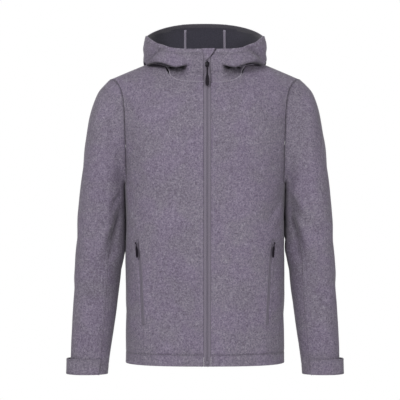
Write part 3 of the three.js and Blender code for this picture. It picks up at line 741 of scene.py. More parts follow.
creaseColumns = "on start end bow wide deep other"
bodyCreases = table(
    creaseColumns,
    # drag from the armhole and the wrinkles over the pocket
    ("front", (176, -170), (160, -300), -6, 11, 2.2, 0.8),
    ("front", (189, -262), (168, -352), 5, 9, 2.6, 1.15),
    ("front", (184, -330), (150, -372), 4, 8, 2.2, 0.7),
    ("front", (178, -352), (140, -398), -3, 7, 1.6, 1.2),
    ("front", (188, -372), (158, -426), 3, 9, 1.8, 0.85),
    ("front", (150, -340), (152, -420), 3, 14, 2.2, 0.9),
    # the slack of the front, and its bottom corner
    ("front", (60, -560), (128, -640), 12, 30, 1.9, 0.75),
    ("front", (30, -430), (110, -520), -14, 40, 1.6, 1.25),
    ("front", (118, -664), (70, -716), 4, 18, 1.5, 0.6),
    ("front", (40, -120), (95, -215), 10, 34, 1.6, 0.85),
    ("front", (128, -95), (176, -150), -5, 20, 1.8, 1.1),
    ("front", (112, -30), (60, -96), 10, 16, 1.3, 0.9),
    # under the arm and down the side
    ("side", (-40, -330), (-10, -470), 8, 15, 3.0, 0.85),
    ("side", (30, -345), (44, -440), -6, 12, 2.6, 1.2),
    ("side", (70, -420), (10, -560), 10, 20, 2.4, 0.8),
    ("side", (-30, -560), (28, -650), -8, 22, 2.0, 1.1),
    # the back: drag to the armholes, the hollow of the waist and the long folds above the hem
    ("back", (186, -205), (120, -300), 10, 14, 3.2, 0.85),
    ("back", (182, -262), (96, -372), -10, 18, 3.4, 1.1),
    ("back", (176, -330), (120, -470), 9, 17, 3.0, 0.8),
    ("back", (128, -430), (104, -640), -9, 26, 4.2, 0.9),
    ("back", (70, -470), (58, -690), 8, 28, 3.2, 1.15),
    ("back", (150, -560), (146, -712), 5, 20, 3.0, 0.8),
    ("back", (96, -410), (-80, -452), 10, 20, 3.4, 0),
    ("back", (60, -362), (-120, -380), -12, 24, 2.8, 0),
    ("back", (30, -200), (10, -330), 4, 34, 2.2, 0),
    ("back", (150, -120), (182, -190), -8, 18, 2.2, 1.1),
)


def bodyFinish(sheet, calmSides, seamSides):
    # seamSides meet a sleeve above the underarm only
    amount = shaded(sheet, creased(sheet, bodyCreases), **foldShade) + wavy(sheet, bodySizes["waves"])
    amount = calmed(sheet, amount, bodySizes["calm"], *calmSides)
    above = np.clip((sheet.points[..., 2] - bodySizes["underarm"] + 30) / 30, 0, 1)
    sheet.push(lerp(amount, calmed(sheet, amount, bodySizes["calm"], *seamSides), above))


def bodyHem(sheet):
    foldedHem(sheet, "first", bodySizes["hemHeight"])
    stitchAt(sheet, "first", bodySizes["hemHeight"], lines=hemLines)


def zipEdgeOf(way):
    return bodySizes["zipEdge"] + way * bodySizes["zipMiddle"]


stitchLines = []  # every row of topstitching, as points and normals
coverLines = []  # and of the wide coverstitch on the neck seam
hemLines = []  # and of the darker stitching along the hem and the tabs


def stitchAt(sheet, side, *aways, start=0.0, end=1.0, lift=0.12, lines=stitchLines):
    lines.extend(sheet.line(side, away, start, end, lift) for away in aways)


frontStitch = {"zip": 5.4, "seam": 4.6}
backStitch = 4.6
pocketSizes = {
    "top": -430,
    "bottom": -632,
    "half": 4.3,
    "inner": (2.8, 1.5, 0.4),  # the tape's columns between its edge and the seam
    "lift": 0.7,
    "wall": 1.2,
    "weltAt": 8.4,
    "weltWide": 2.6,
    "welt": 1.4,
    "ease": 6,
    # the painted shade over the whole side panel, whose sideways face gets less light
    "shade": 0.02,
    "edgeDrop": 0.35,
    "edgeSoft": 0.5,
}


def pocketWelt(flank, edge):
    # the raised edge behind the pocket's zip
    size, z = pocketSizes, flank.points[..., 2]
    below = np.clip((size["top"] + size["ease"] - z) / size["ease"] / 2, 0, 1)
    above = np.clip((z + size["ease"] - size["bottom"]) / size["ease"] / 2, 0, 1)
    return size["welt"] * bell(flank.away[edge], size["weltAt"], size["weltWide"]) * below * above


for side, way, zipSide, seamSide in sides:
    front = Sheet(gridOf(panelPoint(-1, zipEdgeOf(way))), way < 0)
    bodyFinish(front, ("last", zipSide), (seamSide,))
    front.seamed(zipSide, 0.55, frontStitch["zip"], 0.4)
    front.seamed(seamSide, 0.5, frontStitch["seam"], 0.35)
    front.seamed("last", turn=0.5)
    bodyHem(front)
    stitchAt(front, zipSide, frontStitch["zip"])
    clothPiece("front_panel_" + side, front, "front_" + side)

    flank = Sheet(gridOf(sidePoint), way < 0)
    bodyFinish(flank, ("last",), ())
    flank.relief += pocketWelt(flank, zipSide)
    flank.seamed("left right last")
    # painted shade: the whole side panel a little darker, for the light that its sideways face misses
    flank.paintShade(pocketSizes["shade"])
    bodyHem(flank)
    clothPiece("side_panel_" + side, flank, "side_" + side)

halfBack = gridOf(panelPoint(1, 0), "end")
back = Sheet(np.concatenate([halfBack[:, ::-1], halfBack[:, 1:] * (-1, 1, 1)], 1))
bodyFinish(back, ("last",), ("left", "right"))
back.seamed("left right", 0.3, backStitch, 0.35)
back.seamed("last")
bodyHem(back)
clothPiece("back_panel", back, "back")
report("body panels")


# The sleeves: a ring table, from the armhole to the cuff

sleeveRings = table(
    "outX outZ inX inZ depth ahead scoop seam rear",
    (241, -63, 195.5, -311, 146, 0, 16, 141, 134),
    (255, -79, 196, -314, 154, 0, 9, 142, 133),
    (265, -101, 196.5, -318, 159, 0, 4, 143, 132),
    (276, -138, 197, -324, 160, 0, 0, 144, 131),
    (286, -196, 197, -334, 156, 1, 0, 146, 130),
    (294, -258, 196.5, -352, 149, 2, 0, 147, 129),
    (301, -326, 196, -382, 139, 4, 0, 139, 128),
    (306, -392, 196, -420, 129, 6, 0, 125, 127),
    (310, -458, 197, -467, 118, 9, 0, 114, 126),
    (313, -520, 202, -522, 108, 12, 0, 117, 125),
    (315, -582, 209, -582, 98, 16, 0, 120, 124),
    (318, -648, 218, -648, 87, 20, 0, 123, 124),
    (320, -709, 226.5, -709, 74, 24, 0, 124, 124),
    (321, -753, 231, -753, 66, 26, 0, 124, 124),
)
sleeveSizes = {
    "power": 2.2,
    "rows": 16,
    "head": 150,
    "calm": 16,
    "waves": ((80, 1.1, 5), (30, 0.3, 7)),
    "stitch": (2.6, 6.6),
    "cuffHeight": 22,
    # painted shade in a band beside the armhole seam: how dark and how wide
    "seamShade": 0.5,
    "seamShadeWide": 3.5,
}
sleeveRing = alongRows(sleeveRings)


def armhole():
    # the armhole's three stretches: down the front, under the arm and up the back
    fine = np.linspace(0, 1, 160)
    low = neckSizes["underarmShare"]
    front = panelPoint(-1, bodySizes["zipEdge"])(1.0, lerp(1, low, fine))
    under = sidePoint(fine, 1.0)
    backEdge = panelPoint(1, 0)(1.0, lerp(low, 1, fine))
    high, low = front[0], under[len(fine) // 2]
    middle, axis = (high + low) / 2, (high - low) / 2
    halfDepth = max(np.abs(line[:, 1]).max() for line in (front, under, backEdge))
    stretches = []
    for line in (front, under, backEdge):
        out = ((line - middle) @ axis) / (axis @ axis)
        turn = np.arctan2(-line[:, 1] / halfDepth, out) % (2 * math.pi)
        stretches.append([line, turn])
    # the whole turn starts and ends at the shoulder's tip
    stretches[0][1][0] = 0
    stretches[2][1][-1] = 2 * math.pi
    return stretches


armholeLines = armhole()


def sleeveTurn(part, f, t):
    seam, rear = np.radians(sleeveRing["seam"](t)), 2 * math.pi - np.radians(sleeveRing["rear"](t))
    return (f * seam, lerp(seam, rear, f), lerp(rear, 2 * math.pi, f))[part]


def squared(value, power):
    # a sine or cosine, for an oval that is squarer the higher the power
    return np.sign(value) * np.abs(value) ** (2 / power)


def sleeveRingPoint(part, f, t):
    turn = sleeveTurn(part, f, t)
    out = (squared(np.cos(turn), sleeveSizes["power"]) + 1) / 2
    forward = squared(np.sin(turn), sleeveSizes["power"])
    ring = {key: value(t) for key, value in sleeveRing.items()}
    x = lerp(ring["inX"], ring["outX"], out) - ring["scoop"] * forward * forward
    y = -ring["ahead"] - forward * ring["depth"] / 2
    return np.stack([x, y, lerp(ring["inZ"], ring["outZ"], out)], -1)


def sleevePoint(part, f, t):
    # part 0 runs down the front, 1 under the arm and 2 up the back; t runs from the armhole to the cuff
    f, t = np.broadcast_arrays(f, t)
    line, turn = armholeLines[part]
    share = (turn - turn[0]) / (turn[-1] - turn[0])
    hole = np.stack([np.interp(f, share, line[:, k]) for k in range(3)], -1)
    rows = sleeveSizes["rows"]
    step = t * (rows + 1)
    first = sleeveRingPoint(part, f, 0 * f)
    onward = (sleeveRingPoint(part, f, 0 * f + 0.02) - first) / 0.02 / rows
    u = np.clip(step, 0, 1)[..., None]
    cap = curved(hole, first, first - hole, onward, u)
    below = sleeveRingPoint(part, f, np.clip((step - 1) / rows, 0, 1))
    return np.where(u < 1, cap, below)


sleeveCreases = table(
    creaseColumns,
    # the drag beside the armhole's seam, and what fans out from the inner elbow
    ("front", (200, -190), (201, -322), 2, 8, 1.6, 0.95),
    ("front", (202, -334), (234, -452), -5, 7, 5.2, 0.85),
    ("front", (201, -322), (222, -380), 5, 6, 3.8, 1.1),
    ("front", (201, -334), (246, -400), -6, 8, 3.4, 0.8),
    ("front", (203, -372), (226, -500), 6, 9, 3.6, 1.15),
    ("front", (208, -440), (256, -520), 8, 13, 2.8, 0.9),
    ("front", (240, -92), (218, -196), -7, 15, 1.5, 0.85),
    ("front", (226, -150), (214, -230), 5, 11, 1.4, 1.2),
    ("front", (292, -380), (240, -430), 6, 20, 2.4, 0.7),
    ("front", (300, -560), (238, -610), -8, 22, 2.2, 1.2),
    ("front", (306, -664), (244, -690), 5, 14, 1.8, 0.8),
    ("side", (-50, -210), (20, -330), 10, 24, 2.6, 0.9),
    ("side", (36, -390), (-28, -460), -8, 18, 3.2, 1.15),
    ("side", (-40, -520), (16, -600), 7, 20, 2.4, 0.8),
    ("back", (206, -250), (230, -372), -6, 13, 4.4, 0.9),
    ("back", (214, -370), (276, -430), 8, 14, 4.6, 1.1),
    ("back", (212, -420), (280, -466), -7, 13, 3.8, 0.8),
    ("back", (226, -480), (290, -560), 7, 18, 3.2, 1.15),
    ("back", (262, -110), (226, -210), -8, 18, 3.2, 0.85),
    ("back", (300, -610), (248, -672), 6, 16, 2.4, 1.1),
    ("inner", (-30, -420), (22, -470), 5, 13, 2.4, 0.9),
    ("inner", (28, -400), (-18, -520), -6, 14, 2.2, 1.1),
)


def sleeveGrid(parts, edges):
    # columns of the named parts side by side; the shared column between two parts is kept once
    fine = np.linspace(0, 1, 300)
    t = stations(sleevePoint(parts[-1], 0.4 + 0 * fine, fine), fine, "both")
    strips = []
    for part, edge in zip(parts, edges):
        f = stations(sleevePoint(part, fine, 0.4 + 0 * fine), fine, edge)
        strips.append(sleevePoint(part, f[None, :], t[:, None]))
    return np.concatenate([strips[0], *(strip[:, 1:] for strip in strips[1:])], 1)


touchSizes = {
    "lean": 7.5,
    "gap": 0.5,
    "top": -284,
    "full": -304,
    "open": -462,
    "bottom": -505,
    "seam": 10,
    "every": 10,  # between the levels where the sleeve's width is taken
    "band": 8,
    "from": 60,  # how far outside the sleeve a test line towards the body starts, and its length
    "reach": 130,
}
# painted shade on the sleeves' sides that face the body, by height, where the body shades them
innerShade = table("z dark", (-640, 0.16), (-430, 0.42), (-350, 0.3), (-310, 0.16), (-150, 0.02))


def bodyTree(side):
    corners, quads = [], []
    for name in ("front_" + side, "side_" + side, "back"):
        quads += (gridQuads(*panels[name].shape) + len(corners)).tolist()
        corners += panels[name].outer().reshape(-1, 3).tolist()
    return BVHTree.FromPolygons(corners, quads)


def lieBeside(sheets, way, tree):
    # leans the sleeve's inner half on the body's side, down to where they part, and flattens it there
    size = touchSizes
    points = np.concatenate([sheet.points.reshape(-1, 3) for sheet in sheets])
    levels = np.arange(size["bottom"] - size["every"], size["top"] + 3.1 * size["every"], size["every"])
    spans = []
    for level in levels:
        x = points[np.abs(points[:, 2] - level) < size["band"], 0] * way
        spans.append((x.min(), x.max()))
    low, high = np.array(spans).T
    heights = [size[key] for key in ("bottom", "open", "full", "top")]
    outward = Vector((way, 0, 0))
    for sheet in sheets:
        x, z = sheet.points[..., 0] * way, sheet.points[..., 2]
        middle = np.interp(z, levels, (low + high) / 2)
        share = np.clip((middle - x) / np.interp(z, levels, (high - low) / 2), 0, 1)
        share = share * np.clip(sheet.away["first"] / size["seam"], 0, 1)
        lean = size["lean"] * np.interp(z, heights, [0, 1, 1, 0])
        sheet.moveTo(sheet.points - (lean * share * way)[..., None] * (1, 0, 0))
        outer, pressed = sheet.outer(), sheet.points.copy()
        for row, column in np.argwhere((lean > 0) & (share > 0.1)):
            start = Vector(outer[row, column]) + outward * size["from"]
            hit = tree.ray_cast(start, -outward, size["reach"])[0]
            if hit is not None:
                need = (hit.x - outer[row, column, 0]) * way + size["gap"]
                pressed[row, column, 0] += max(need, 0) * way
        sheet.moveTo(pressed)


upperGrid = sleeveGrid((2, 0), ("start", "end"))
underGrid = sleeveGrid((1,), ("both",))
for side, way, _, foreEdge in sides:
    sleeves = {"upper": Sheet(upperGrid, way < 0), "under": Sheet(underGrid, way < 0)}
    sleeves["upper"].head = sleeveSizes["head"]
    for sleeve in sleeves.values():
        amount = shaded(sleeve, creased(sleeve, sleeveCreases)) + wavy(sleeve, sleeveSizes["waves"])
        sleeve.push(calmed(sleeve, amount, sleeveSizes["calm"], "first"))
    lieBeside(list(sleeves.values()), way, bodyTree(side))
    for name, sleeve in sleeves.items():
        # painted shade: the sleeve darker on its side towards the body, and in a band beside the armhole
        # seam
        inwards = np.clip((-sleeve.normals[..., 0] * way + 0.15) / 0.9, 0, 1)
        heights, dark = ([row[key] for row in innerShade] for key in ("z", "dark"))
        sleeve.paintShade(inwards * np.interp(sleeve.points[..., 2], heights, dark))
        beside = bell(sleeve.away["first"], 0, sleeveSizes["seamShadeWide"])
        sleeve.paintShade(sleeveSizes["seamShade"] * beside)
        sleeve.seamed("left right")
        sleeve.seamed("first", 0.2)
        foldedHem(sleeve, "last", sleeveSizes["cuffHeight"])
        clothPiece(f"{name}_sleeve_{side}", sleeve, f"sleeve_{name}_{side}")
    stitchAt(sleeves["upper"], foreEdge, *sleeveSizes["stitch"])
report("sleeves")


# The hood, which lies down behind the neck and stands up round it

hoodRings = table(
    "half front back zFront zSide zBack own",
    (100, 96, 64, -47, 10, 0, 0),
    (112, 99, 82, -36, 6, -20, 0.3),
    (130, 101, 116, -28, -10, -96, 0.7),
    (143, 103, 139, -21, -15, -176, 1),
    (148, 105, 160, -13, -6, -176, 1),
    (149, 108, 172, -2, 15, -110, 1),
    (147, 110, 162, 6, 34, 10, 1),
    (142, 111, 131, 14, 54, 98, 1),
)
hoodSizes = {
    "power": 2.5,
    "frontRise": 3,
    "backRise": 1.3,
    "centreTurn": 15.2,
    "rest": 6,
    "rimHeight": 11.5,
    "calm": 16,
    "step": 2.0,
    "waves": ((60, 1.2, 11),),
    "seamStitch": (3.2, 7.2),
    "neckStitch": 3.6,
    "coverAt": 0.4,
}


def hoodKnots(turn, face, inner):
    # the points that each of the hood's columns passes through, from the neck seam to the rim
    power = hoodSizes["power"]
    aside, deep = np.sin(turn), np.clip(np.cos(turn), 0, None)
    seam = bodyPoint(*neckline(turn, face, inner), face)
    centre = bodyPoint(*neckline(0 * turn, face, inner), face)
    knots = [seam]
    for ring in hoodRings:
        depth = ring["front"] if face < 0 else ring["back"]
        own = (lerp(inner, ring["half"], aside ** (2 / power)), face * depth * deep ** (2 / power))
        widened = (ring["half"] - inner) / (neckSizes["half"] - inner)
        like = (inner + (seam[..., 0] - inner) * widened, seam[..., 1] * depth / np.abs(centre[..., 1]))
        x, y = (lerp(like[k], own[k], ring["own"]) for k in range(2))
        if face < 0:
            z = lerp(ring["zFront"], ring["zSide"], aside ** hoodSizes["frontRise"])
        else:
            z = lerp(ring["zSide"], ring["zBack"], deep ** hoodSizes["backRise"])
        nearer = np.sign(y) * np.maximum(np.abs(y) - hoodSizes["rest"], 0)
        z = np.maximum(z, bodyTop(x, nearer) + hoodSizes["rest"])
        knots.append(np.stack([x, y, z], -1))
    return np.stack(knots)


def throughKnots(knots, t):
    # centripetal curves through the knots, for t of 0 to 1; knots are (knot, column, 3)
    ends = (2 * knots[:1] - knots[1:2], 2 * knots[-1:] - knots[-2:-1])
    padded = np.concatenate([ends[0], knots, ends[1]])
    last = len(knots) - 1
    position = t * last
    i = np.clip(position.astype(int), 0, last - 1)
    u = (position - i)[:, None, None]
    p = [padded[i + k] for k in range(4)]
    d = [np.maximum(np.linalg.norm(p[k + 1] - p[k], axis=-1, keepdims=True), 1e-6) ** 0.5 for k in range(3)]
    leave = ((p[1] - p[0]) / d[0] - (p[2] - p[0]) / (d[0] + d[1]) + (p[2] - p[1]) / d[1]) * d[1]
    arrive = ((p[2] - p[1]) / d[1] - (p[3] - p[1]) / (d[1] + d[2]) + (p[3] - p[2]) / d[2]) * d[1]
    return curved(p[1], p[2], leave, arrive, u)


def hoodPoints(turn, face, inner, t):
    return throughKnots(hoodKnots(turn, face, inner), t)


def hoodTurns(face, inner, first, last, edges):
    # turns at even steps round the hood, between two turns
    fine = lerp(first, last, np.linspace(0, 1, 260))
    levels = hoodPoints(fine, face, inner, np.array([0.0, 0.3, 1.0]))
    lengths = np.linalg.norm(np.diff(levels, axis=1), axis=-1).mean(0)
    line = np.concatenate([[0], np.cumsum(lengths)])
    return stations(np.stack([line, 0 * line, 0 * line], -1), fine, edges)


hoodCreases = table(
    creaseColumns,
    ("front", (90, 24), (142, -14), 5, 9, 7.5, 0.95),
    ("front", (128, 46), (118, 4), -5, 9, 2.2, 1.2),
    ("front", (84, 6), (52, -8), 3, 9, 1.3, 0.8),
    ("side", (-60, -4), (20, 12), 6, 10, 2.2, 0.9),
    ("side", (-20, 30), (70, 0), -8, 14, 2.4, 1.1),
    ("side", (60, 40), (110, -30), 8, 16, 2.6, 0.8),
    ("back", (120, -10), (60, -90), 10, 18, 3.0, 0.85),
    ("back", (96, 60), (40, -40), -12, 20, 2.4, 1.15),
    ("back", (70, -120), (-50, -142), 8, 14, 2.6, 0),
    ("back", (30, 40), (-70, 20), -8, 18, 1.8, 0),
)
# The hood's roll hangs over the collar's stand: where its lower edge runs, seen from the front, how
# strongly, and how the cloth goes in and out and down past it.
hoodLip = table(
    "x z deep",
    (40, -24, 0),
    (48, -24, 0.5),
    (60, -23.5, 1),
    (72, -22.5, 1.1),
    (86, -18, 1),
    (106, -13, 0.9),
    (123, -16, 0.75),
    (150, -23, 0.6),
)
# its shade column is painted shade: how dark the cloth's colour is painted in the hollow under the roll's
# edge
lipProfile = table(
    "above out drop shade",
    (-46, 0, 0, 0.08),
    (-30, 0, 0, 0.12),
    (-22, -4, 0, 0.22),
    (-16, -9, -1, 0.5),
    (-11, -14, -2, 0.9),
    (-4, -16, -4, 1),
    (1, -8, 2, 1),
    (3, 4, 7, 1),
    (5, 8, 8, 0.75),
    (7, 9.5, 7.5, 0.2),
    (12, 9, 5, 0),
    (20, 5, 2, 0),
    (36, 0, 0, 0),
)
lipHeight, lipStrength = through(hoodLip, "x", "z"), through(hoodLip, "x", "deep")
lipOut, lipDrop, lipShade = (through(lipProfile, "above", key) for key in ("out", "drop", "shade"))


def lipped(sheet):
    aside, ahead = np.abs(sheet.points[..., 0]), sheet.points[..., 1] < 0
    above = sheet.points[..., 2] - lipHeight(aside)
    strength = lipStrength(aside) * np.clip((-sheet.normals[..., 1] - 0.1) / 0.4, 0, 1) * ahead
    out = lipOut(above)
    out = np.where((out < 0) & (aside > neckSizes["half"]), 0, out) * strength
    down = lipDrop(above) * strength
    # painted shade in the hollow under the roll, as strong as the roll there
    sheet.paintShade(lipShade(above) * np.clip(strength * 1.3, 0, 1))
    sheet.moveTo(sheet.points + sheet.normals * out[..., None] - down[..., None] * (0, 0, 1))


seamTurn = math.radians(hoodSizes["centreTurn"])
quarter = math.pi / 2
fineRows = np.linspace(0, 1, 400)
typicalColumn = hoodPoints(np.array([math.radians(50)]), -1, bodySizes["zipEdge"], fineRows)[:, 0]
hoodRows = stations(typicalColumn, fineRows, "both", hoodSizes["step"])


def hoodFinish(sheet, *calmSides):
    amount = shaded(sheet, creased(sheet, hoodCreases), **foldShade, most=0.3)
    amount = calmed(sheet, amount + wavy(sheet, hoodSizes["waves"]), hoodSizes["calm"], "first", *calmSides)
    sheet.push(amount)
    lipped(sheet)
    sheet.seamed("first", 0.4, turn=0.5)
    foldedHem(sheet, "last", hoodSizes["rimHeight"])


flapSizes = {
    "left": -7.3,
    "leftFoot": -2,
    "right": 23,
    "top": 15.2,
    "foot": -11,
    "lift": 1.1,
    "roll": 2.6,
    "wall": 1.6,
    "bulge": 1.4,
    "stitch": 3.2,
    "shade": 0.95,
    "shadeAt": 1.2,
    "shadeWide": 2.4,
}


def flapReach(share):
    # how far the flap's curved edge lies to the side, from its foot to its top
    size = flapSizes
    reach = (1 - (1 - share) ** size["bulge"]) ** (1 / size["bulge"])
    return size["leftFoot"] + 1 + (size["right"] - size["leftFoot"] - 1) * reach


def flapShadow(sheet):
    # painted shadow: the cloth just outside the flap's curved edge is painted dark where the flap's shadow
    # falls
    size = flapSizes
    x, y, z = (sheet.points[..., k] for k in range(3))
    share = np.clip((z - size["foot"]) / (size["top"] - size["foot"]), 0, 1)
    beside = bell(x - flapReach(share), size["shadeAt"], size["shadeWide"])
    sheet.paintShade(size["shade"] * beside * (y < 0) * (z > size["foot"] - 2))


for side, way, zipSide, seamSide in sides:
    inner = zipEdgeOf(way)
    front = hoodPoints(hoodTurns(-1, inner, 0, quarter, "start"), -1, inner, hoodRows)
    rear = hoodPoints(hoodTurns(1, 0.0, quarter, seamTurn, "end"), 1, 0.0, hoodRows)
    half = Sheet(np.concatenate([front, rear[:, 1:]], 1), way < 0)
    hoodFinish(half, zipSide)
    flapShadow(half)
    half.seamed(zipSide, 0.5, frontStitch["zip"], 0.4)
    half.seamed(seamSide)
    stitchAt(half, zipSide, frontStitch["zip"])
    stitchAt(half, seamSide, *hoodSizes["seamStitch"])
    stitchAt(half, "first", hoodSizes["neckStitch"])
    stitchAt(half, "first", hoodSizes["coverAt"], lift=0.15, lines=coverLines)
    stitchAt(half, "last", hoodSizes["rimHeight"])
    clothPiece("hood_side_panel_" + side, half, "hood_side_" + side)

halfCentre = hoodPoints(hoodTurns(1, 0.0, seamTurn, 0, "start"), 1, 0.0, hoodRows)
centre = Sheet(np.concatenate([halfCentre, halfCentre[:, -2::-1] * (-1, 1, 1)], 1))
hoodFinish(centre)
centre.seamed("left right")
stitchAt(centre, "last", hoodSizes["rimHeight"])
clothPiece("hood_centre_panel", centre, "hood_centre")
report("hood")


# The front zip's tape, between the fronts' edges from the hem to the hood's rim

zipSizes = {
    "gap": 0.3,
    "sunk": 0.5,
    "wall": 1.4,
    "chain": 3.2,
    "cord": 0.5,
    "cordWide": 0.6,
    "boxRise": 9,  # of the box at the zip's foot, over the hem
    "boxSunk": 0.2,
}


def zipStrip():
    shares = np.linspace(0, 1, 240)
    frontEdge = panelPoint(-1, zipEdgeOf(1))(0 * shares, shares)
    collar = hoodPoints(np.array([0.0]), -1, zipEdgeOf(1), shares)[:, 0]
    line = np.concatenate([frontEdge[:-1], collar]) * (0, 1, 1)
    params = np.linspace(0, 1, len(line))
    rows = stations(line, params, "both")
    line = np.stack([np.interp(rows, params, line[:, k]) for k in range(3)], -1)
    half, chain = bodySizes["zipEdge"] - zipSizes["gap"], zipSizes["chain"]
    band = np.linspace(chain, half, 5)
    columns = np.concatenate([-band[:0:-1], np.linspace(-chain, chain, 11), band[1:]])
    strip = Sheet(line[:, None] + (columns[None, :, None] + bodySizes["zipMiddle"]) * (1, 0, 0))
    strip.push(np.full(strip.shape, -zipSizes["sunk"]))
    cord = bell(np.abs(columns)[None], chain + zipSizes["cordWide"], zipSizes["cordWide"])
    strip.relief += zipSizes["cord"] * cord
    return strip, collar, line[0]


zipSheet, collarLine, zipFoot = zipStrip()
clothPiece("zip_tape", zipSheet, "zip_main", "zip_tape", wall=zipSizes["wall"], outer=zipTape, inner=zipTape)
middleColumn = zipSheet.shape[1] // 2
zipTrack = [(zipSheet.outer()[:, middleColumn], zipSheet.normals[:, middleColumn])]


# The guard flap over the zip's top, with a corner cut away in a curve

def flapPoints():
    size = flapSizes
    share = np.linspace(0, 1, 22)[:, None]
    across = np.linspace(0, 1, 24)[None]
    z = lerp(size["foot"], size["top"], share)
    first = lerp(size["leftFoot"], size["left"], share)
    x = lerp(first, flapReach(share), across)
    y = np.interp(z, collarLine[:, 2], collarLine[:, 1]) - size["lift"] - size["wall"]
    y = y - size["roll"] * across ** 2 * (1 - 0.5 * share)
    return np.stack(np.broadcast_arrays(x, y, z), -1)


flap = Sheet(flapPoints())
flap.seamed("left right last", 0.35, flapSizes["stitch"], 0.2)
for edge in ("right", "last"):
    stitchAt(flap, edge, flapSizes["stitch"], start=0.12, end=0.9)
clothPiece("chin_guard", flap, "zip_garage", wall=flapSizes["wall"], inner=shellCloth)


# The pocket zips, which lie over the seams between the fronts and the sides

def pocketGrid(side, seamSide, foreSide):
    z = np.linspace(pocketSizes["bottom"], pocketSizes["top"], 52)
    aways = (pocketSizes["half"], *pocketSizes["inner"])
    columns = []
    for panel, edge, distances in (("front_", seamSide, aways), ("side_", foreSide, aways[::-1])):
        for away in distances:
            points, normals = panels[panel + side].line(edge, away, lift=pocketSizes["lift"])
            points = points[np.argsort(points[:, 2])]
            columns.append(np.stack([np.interp(z, points[:, 2], points[:, k]) for k in (0, 1)] + [z], -1))
    return np.stack(columns[::-1] if side == "right" else columns, 1)


pocketTrack = []
for side, _, foreSide, seamSide in sides:
    pocket = Sheet(pocketGrid(side, seamSide, foreSide))
    for away in pocket.away.values():
        pocket.relief -= pocketSizes["edgeDrop"] * np.exp(-away / pocketSizes["edgeSoft"])
    clothPiece("pocket_zip_tape_" + side, pocket, "pocket_zip_" + side, "zip_tape", "front_panel_" + side,
               outer=pocketTape, inner=pocketTape, wall=pocketSizes["wall"])
    pocketTrack.append(pocket.line("left", pocketSizes["half"], 0.03, 0.97))


# The seam tapes inside the hood

tapeSizes = {"half": 3, "lift": 0.2, "wall": 0.8, "belowRim": 10, "columns": 5}


def tapeStrip(column):
    points, normals = centre.points[:, column], centre.normals[:, column]
    across = unit(np.cross(np.gradient(points, axis=0), normals))
    depth = clothSizes["wall"] + centre.inside[:, column] + tapeSizes["lift"] + tapeSizes["wall"]
    sunk = points - normals * depth[:, None]
    chosen = np.flatnonzero((hoodRows > 0.5) & (centre.away["last"][:, column] > tapeSizes["belowRim"]))
    spread = np.linspace(-tapeSizes["half"], tapeSizes["half"], tapeSizes["columns"])
    strip = sunk[chosen][:, None] - across[chosen][:, None] * spread[None, :, None]
    lining = Sheet(strip)
    facesOut = (lining.normals * normals[chosen][:, None]).sum() > 0
    return Sheet(strip[:, ::-1]) if facesOut else lining


for side, column in (("left", -1), ("right", 0)):
    clothPiece("hood_seam_tape_" + side, tapeStrip(column), "hood_tape_" + side, "seam_tape",
               "hood_centre_panel", outer=seamTape, inner=seamTape, wall=tapeSizes["wall"])


# The cuff tabs, round the outside of each sleeve's end, which stand off it at the outer edge

tabSizes = {"height": 37, "stand": 8, "gap": 0.3, "wall": 1.8, "rear": 0.38, "stitch": 3, "boxes": (5, 16)}


def tabPoints():
    fine = np.linspace(0.8, 1, 300)
    heights = sleevePoint(0, 0 * fine, fine)[:, 2]
    near = np.array(edgeSteps[:8])
    above = np.concatenate([tabSizes["height"] - near, np.linspace(26, 10, 6), near[::-1]])
    t = np.interp(-above - heights[-1], -heights, fine)[:, None]
    behind = np.linspace(tabSizes["rear"], 1, 34)
    ahead = np.linspace(0, 1, 44)
    grid = np.concatenate([sleevePoint(2, behind[None], t), sleevePoint(0, ahead[None, 1:], t)], 1)
    turn = np.concatenate([(behind - 1) / (1 - tabSizes["rear"]), ahead[1:]])
    return grid, tabSizes["stand"] * np.cos(turn * math.pi / 2) ** 2


tabGrid, tabStand = tabPoints()
for side, way, _, foreEdge in sides:
    tab = Sheet(tabGrid, way < 0)
    off = tabStand[::way] + tabSizes["gap"] + tabSizes["wall"]
    tab.push(np.broadcast_to(off, tab.shape))
    for edge in ("left", "right", "first", "last"):
        tab.seamed(edge, 0.25, tabSizes["stitch"], 0.3)
        stitchAt(tab, edge, tabSizes["stitch"], start=0.03, end=0.97, lines=hemLines)
    stitchAt(tab, foreEdge, *tabSizes["boxes"], start=0.1, end=0.9)
    clothPiece("cuff_tab_cloth_" + side, tab, "cuff_tab_" + side, wall=tabSizes["wall"], inner=shellCloth)
report("zip tapes, flap, hood tapes and cuff tabs")


# Hard pieces, from lofted and turned shapes in a frame of their own: X along the pin, -Y out of the
# cloth and Z up, with the pin at its middle

def roundTurns(count):
    return np.linspace(0, 2 * math.pi, count, endpoint=False)


def oval(halfX, halfY, power, count=28):
    turns = roundTurns(count)
    return squared(np.cos(turns), power) * halfX, squared(np.sin(turns), power) * halfY


def lofted(rings, closed=False):
    rings = np.asarray(rings, float)
    count, around = rings.shape[:2]
    steps = count if closed else count - 1
    row, column = np.meshgrid(np.arange(steps), np.arange(around), indexing="ij")
    corners = [(row, column), (row, column + 1), (row + 1, column + 1), (row + 1, column)]
    quads = np.stack([(r % count) * around + c % around for r, c in corners], -1).reshape(-1, 4)
    caps = [] if closed else [list(range(around)), list(range((count - 1) * around, count * around))]
    return rings.reshape(-1, 3), quads.tolist() + caps


def upright(rows, power, middle=(0, 0)):
    # a loft up Z through ovals, from rows of height, half width and half depth
    rings = []
    for height, halfX, halfY in rows:
        x, y = oval(halfX, halfY, power)
        rings.append(np.stack([x + middle[0], y + middle[1], height + 0 * x], -1))
    return lofted(rings)


def sideways(rows, power=2.0, middle=(0, 0)):
    # a loft along X, from rows of x, half depth and half height
    rings = []
    for x, halfY, halfZ in rows:
        y, z = oval(halfY, halfZ, power, 20)
        rings.append(np.stack([x + 0 * y, y + middle[0], z + middle[1]], -1))
    return lofted(rings)


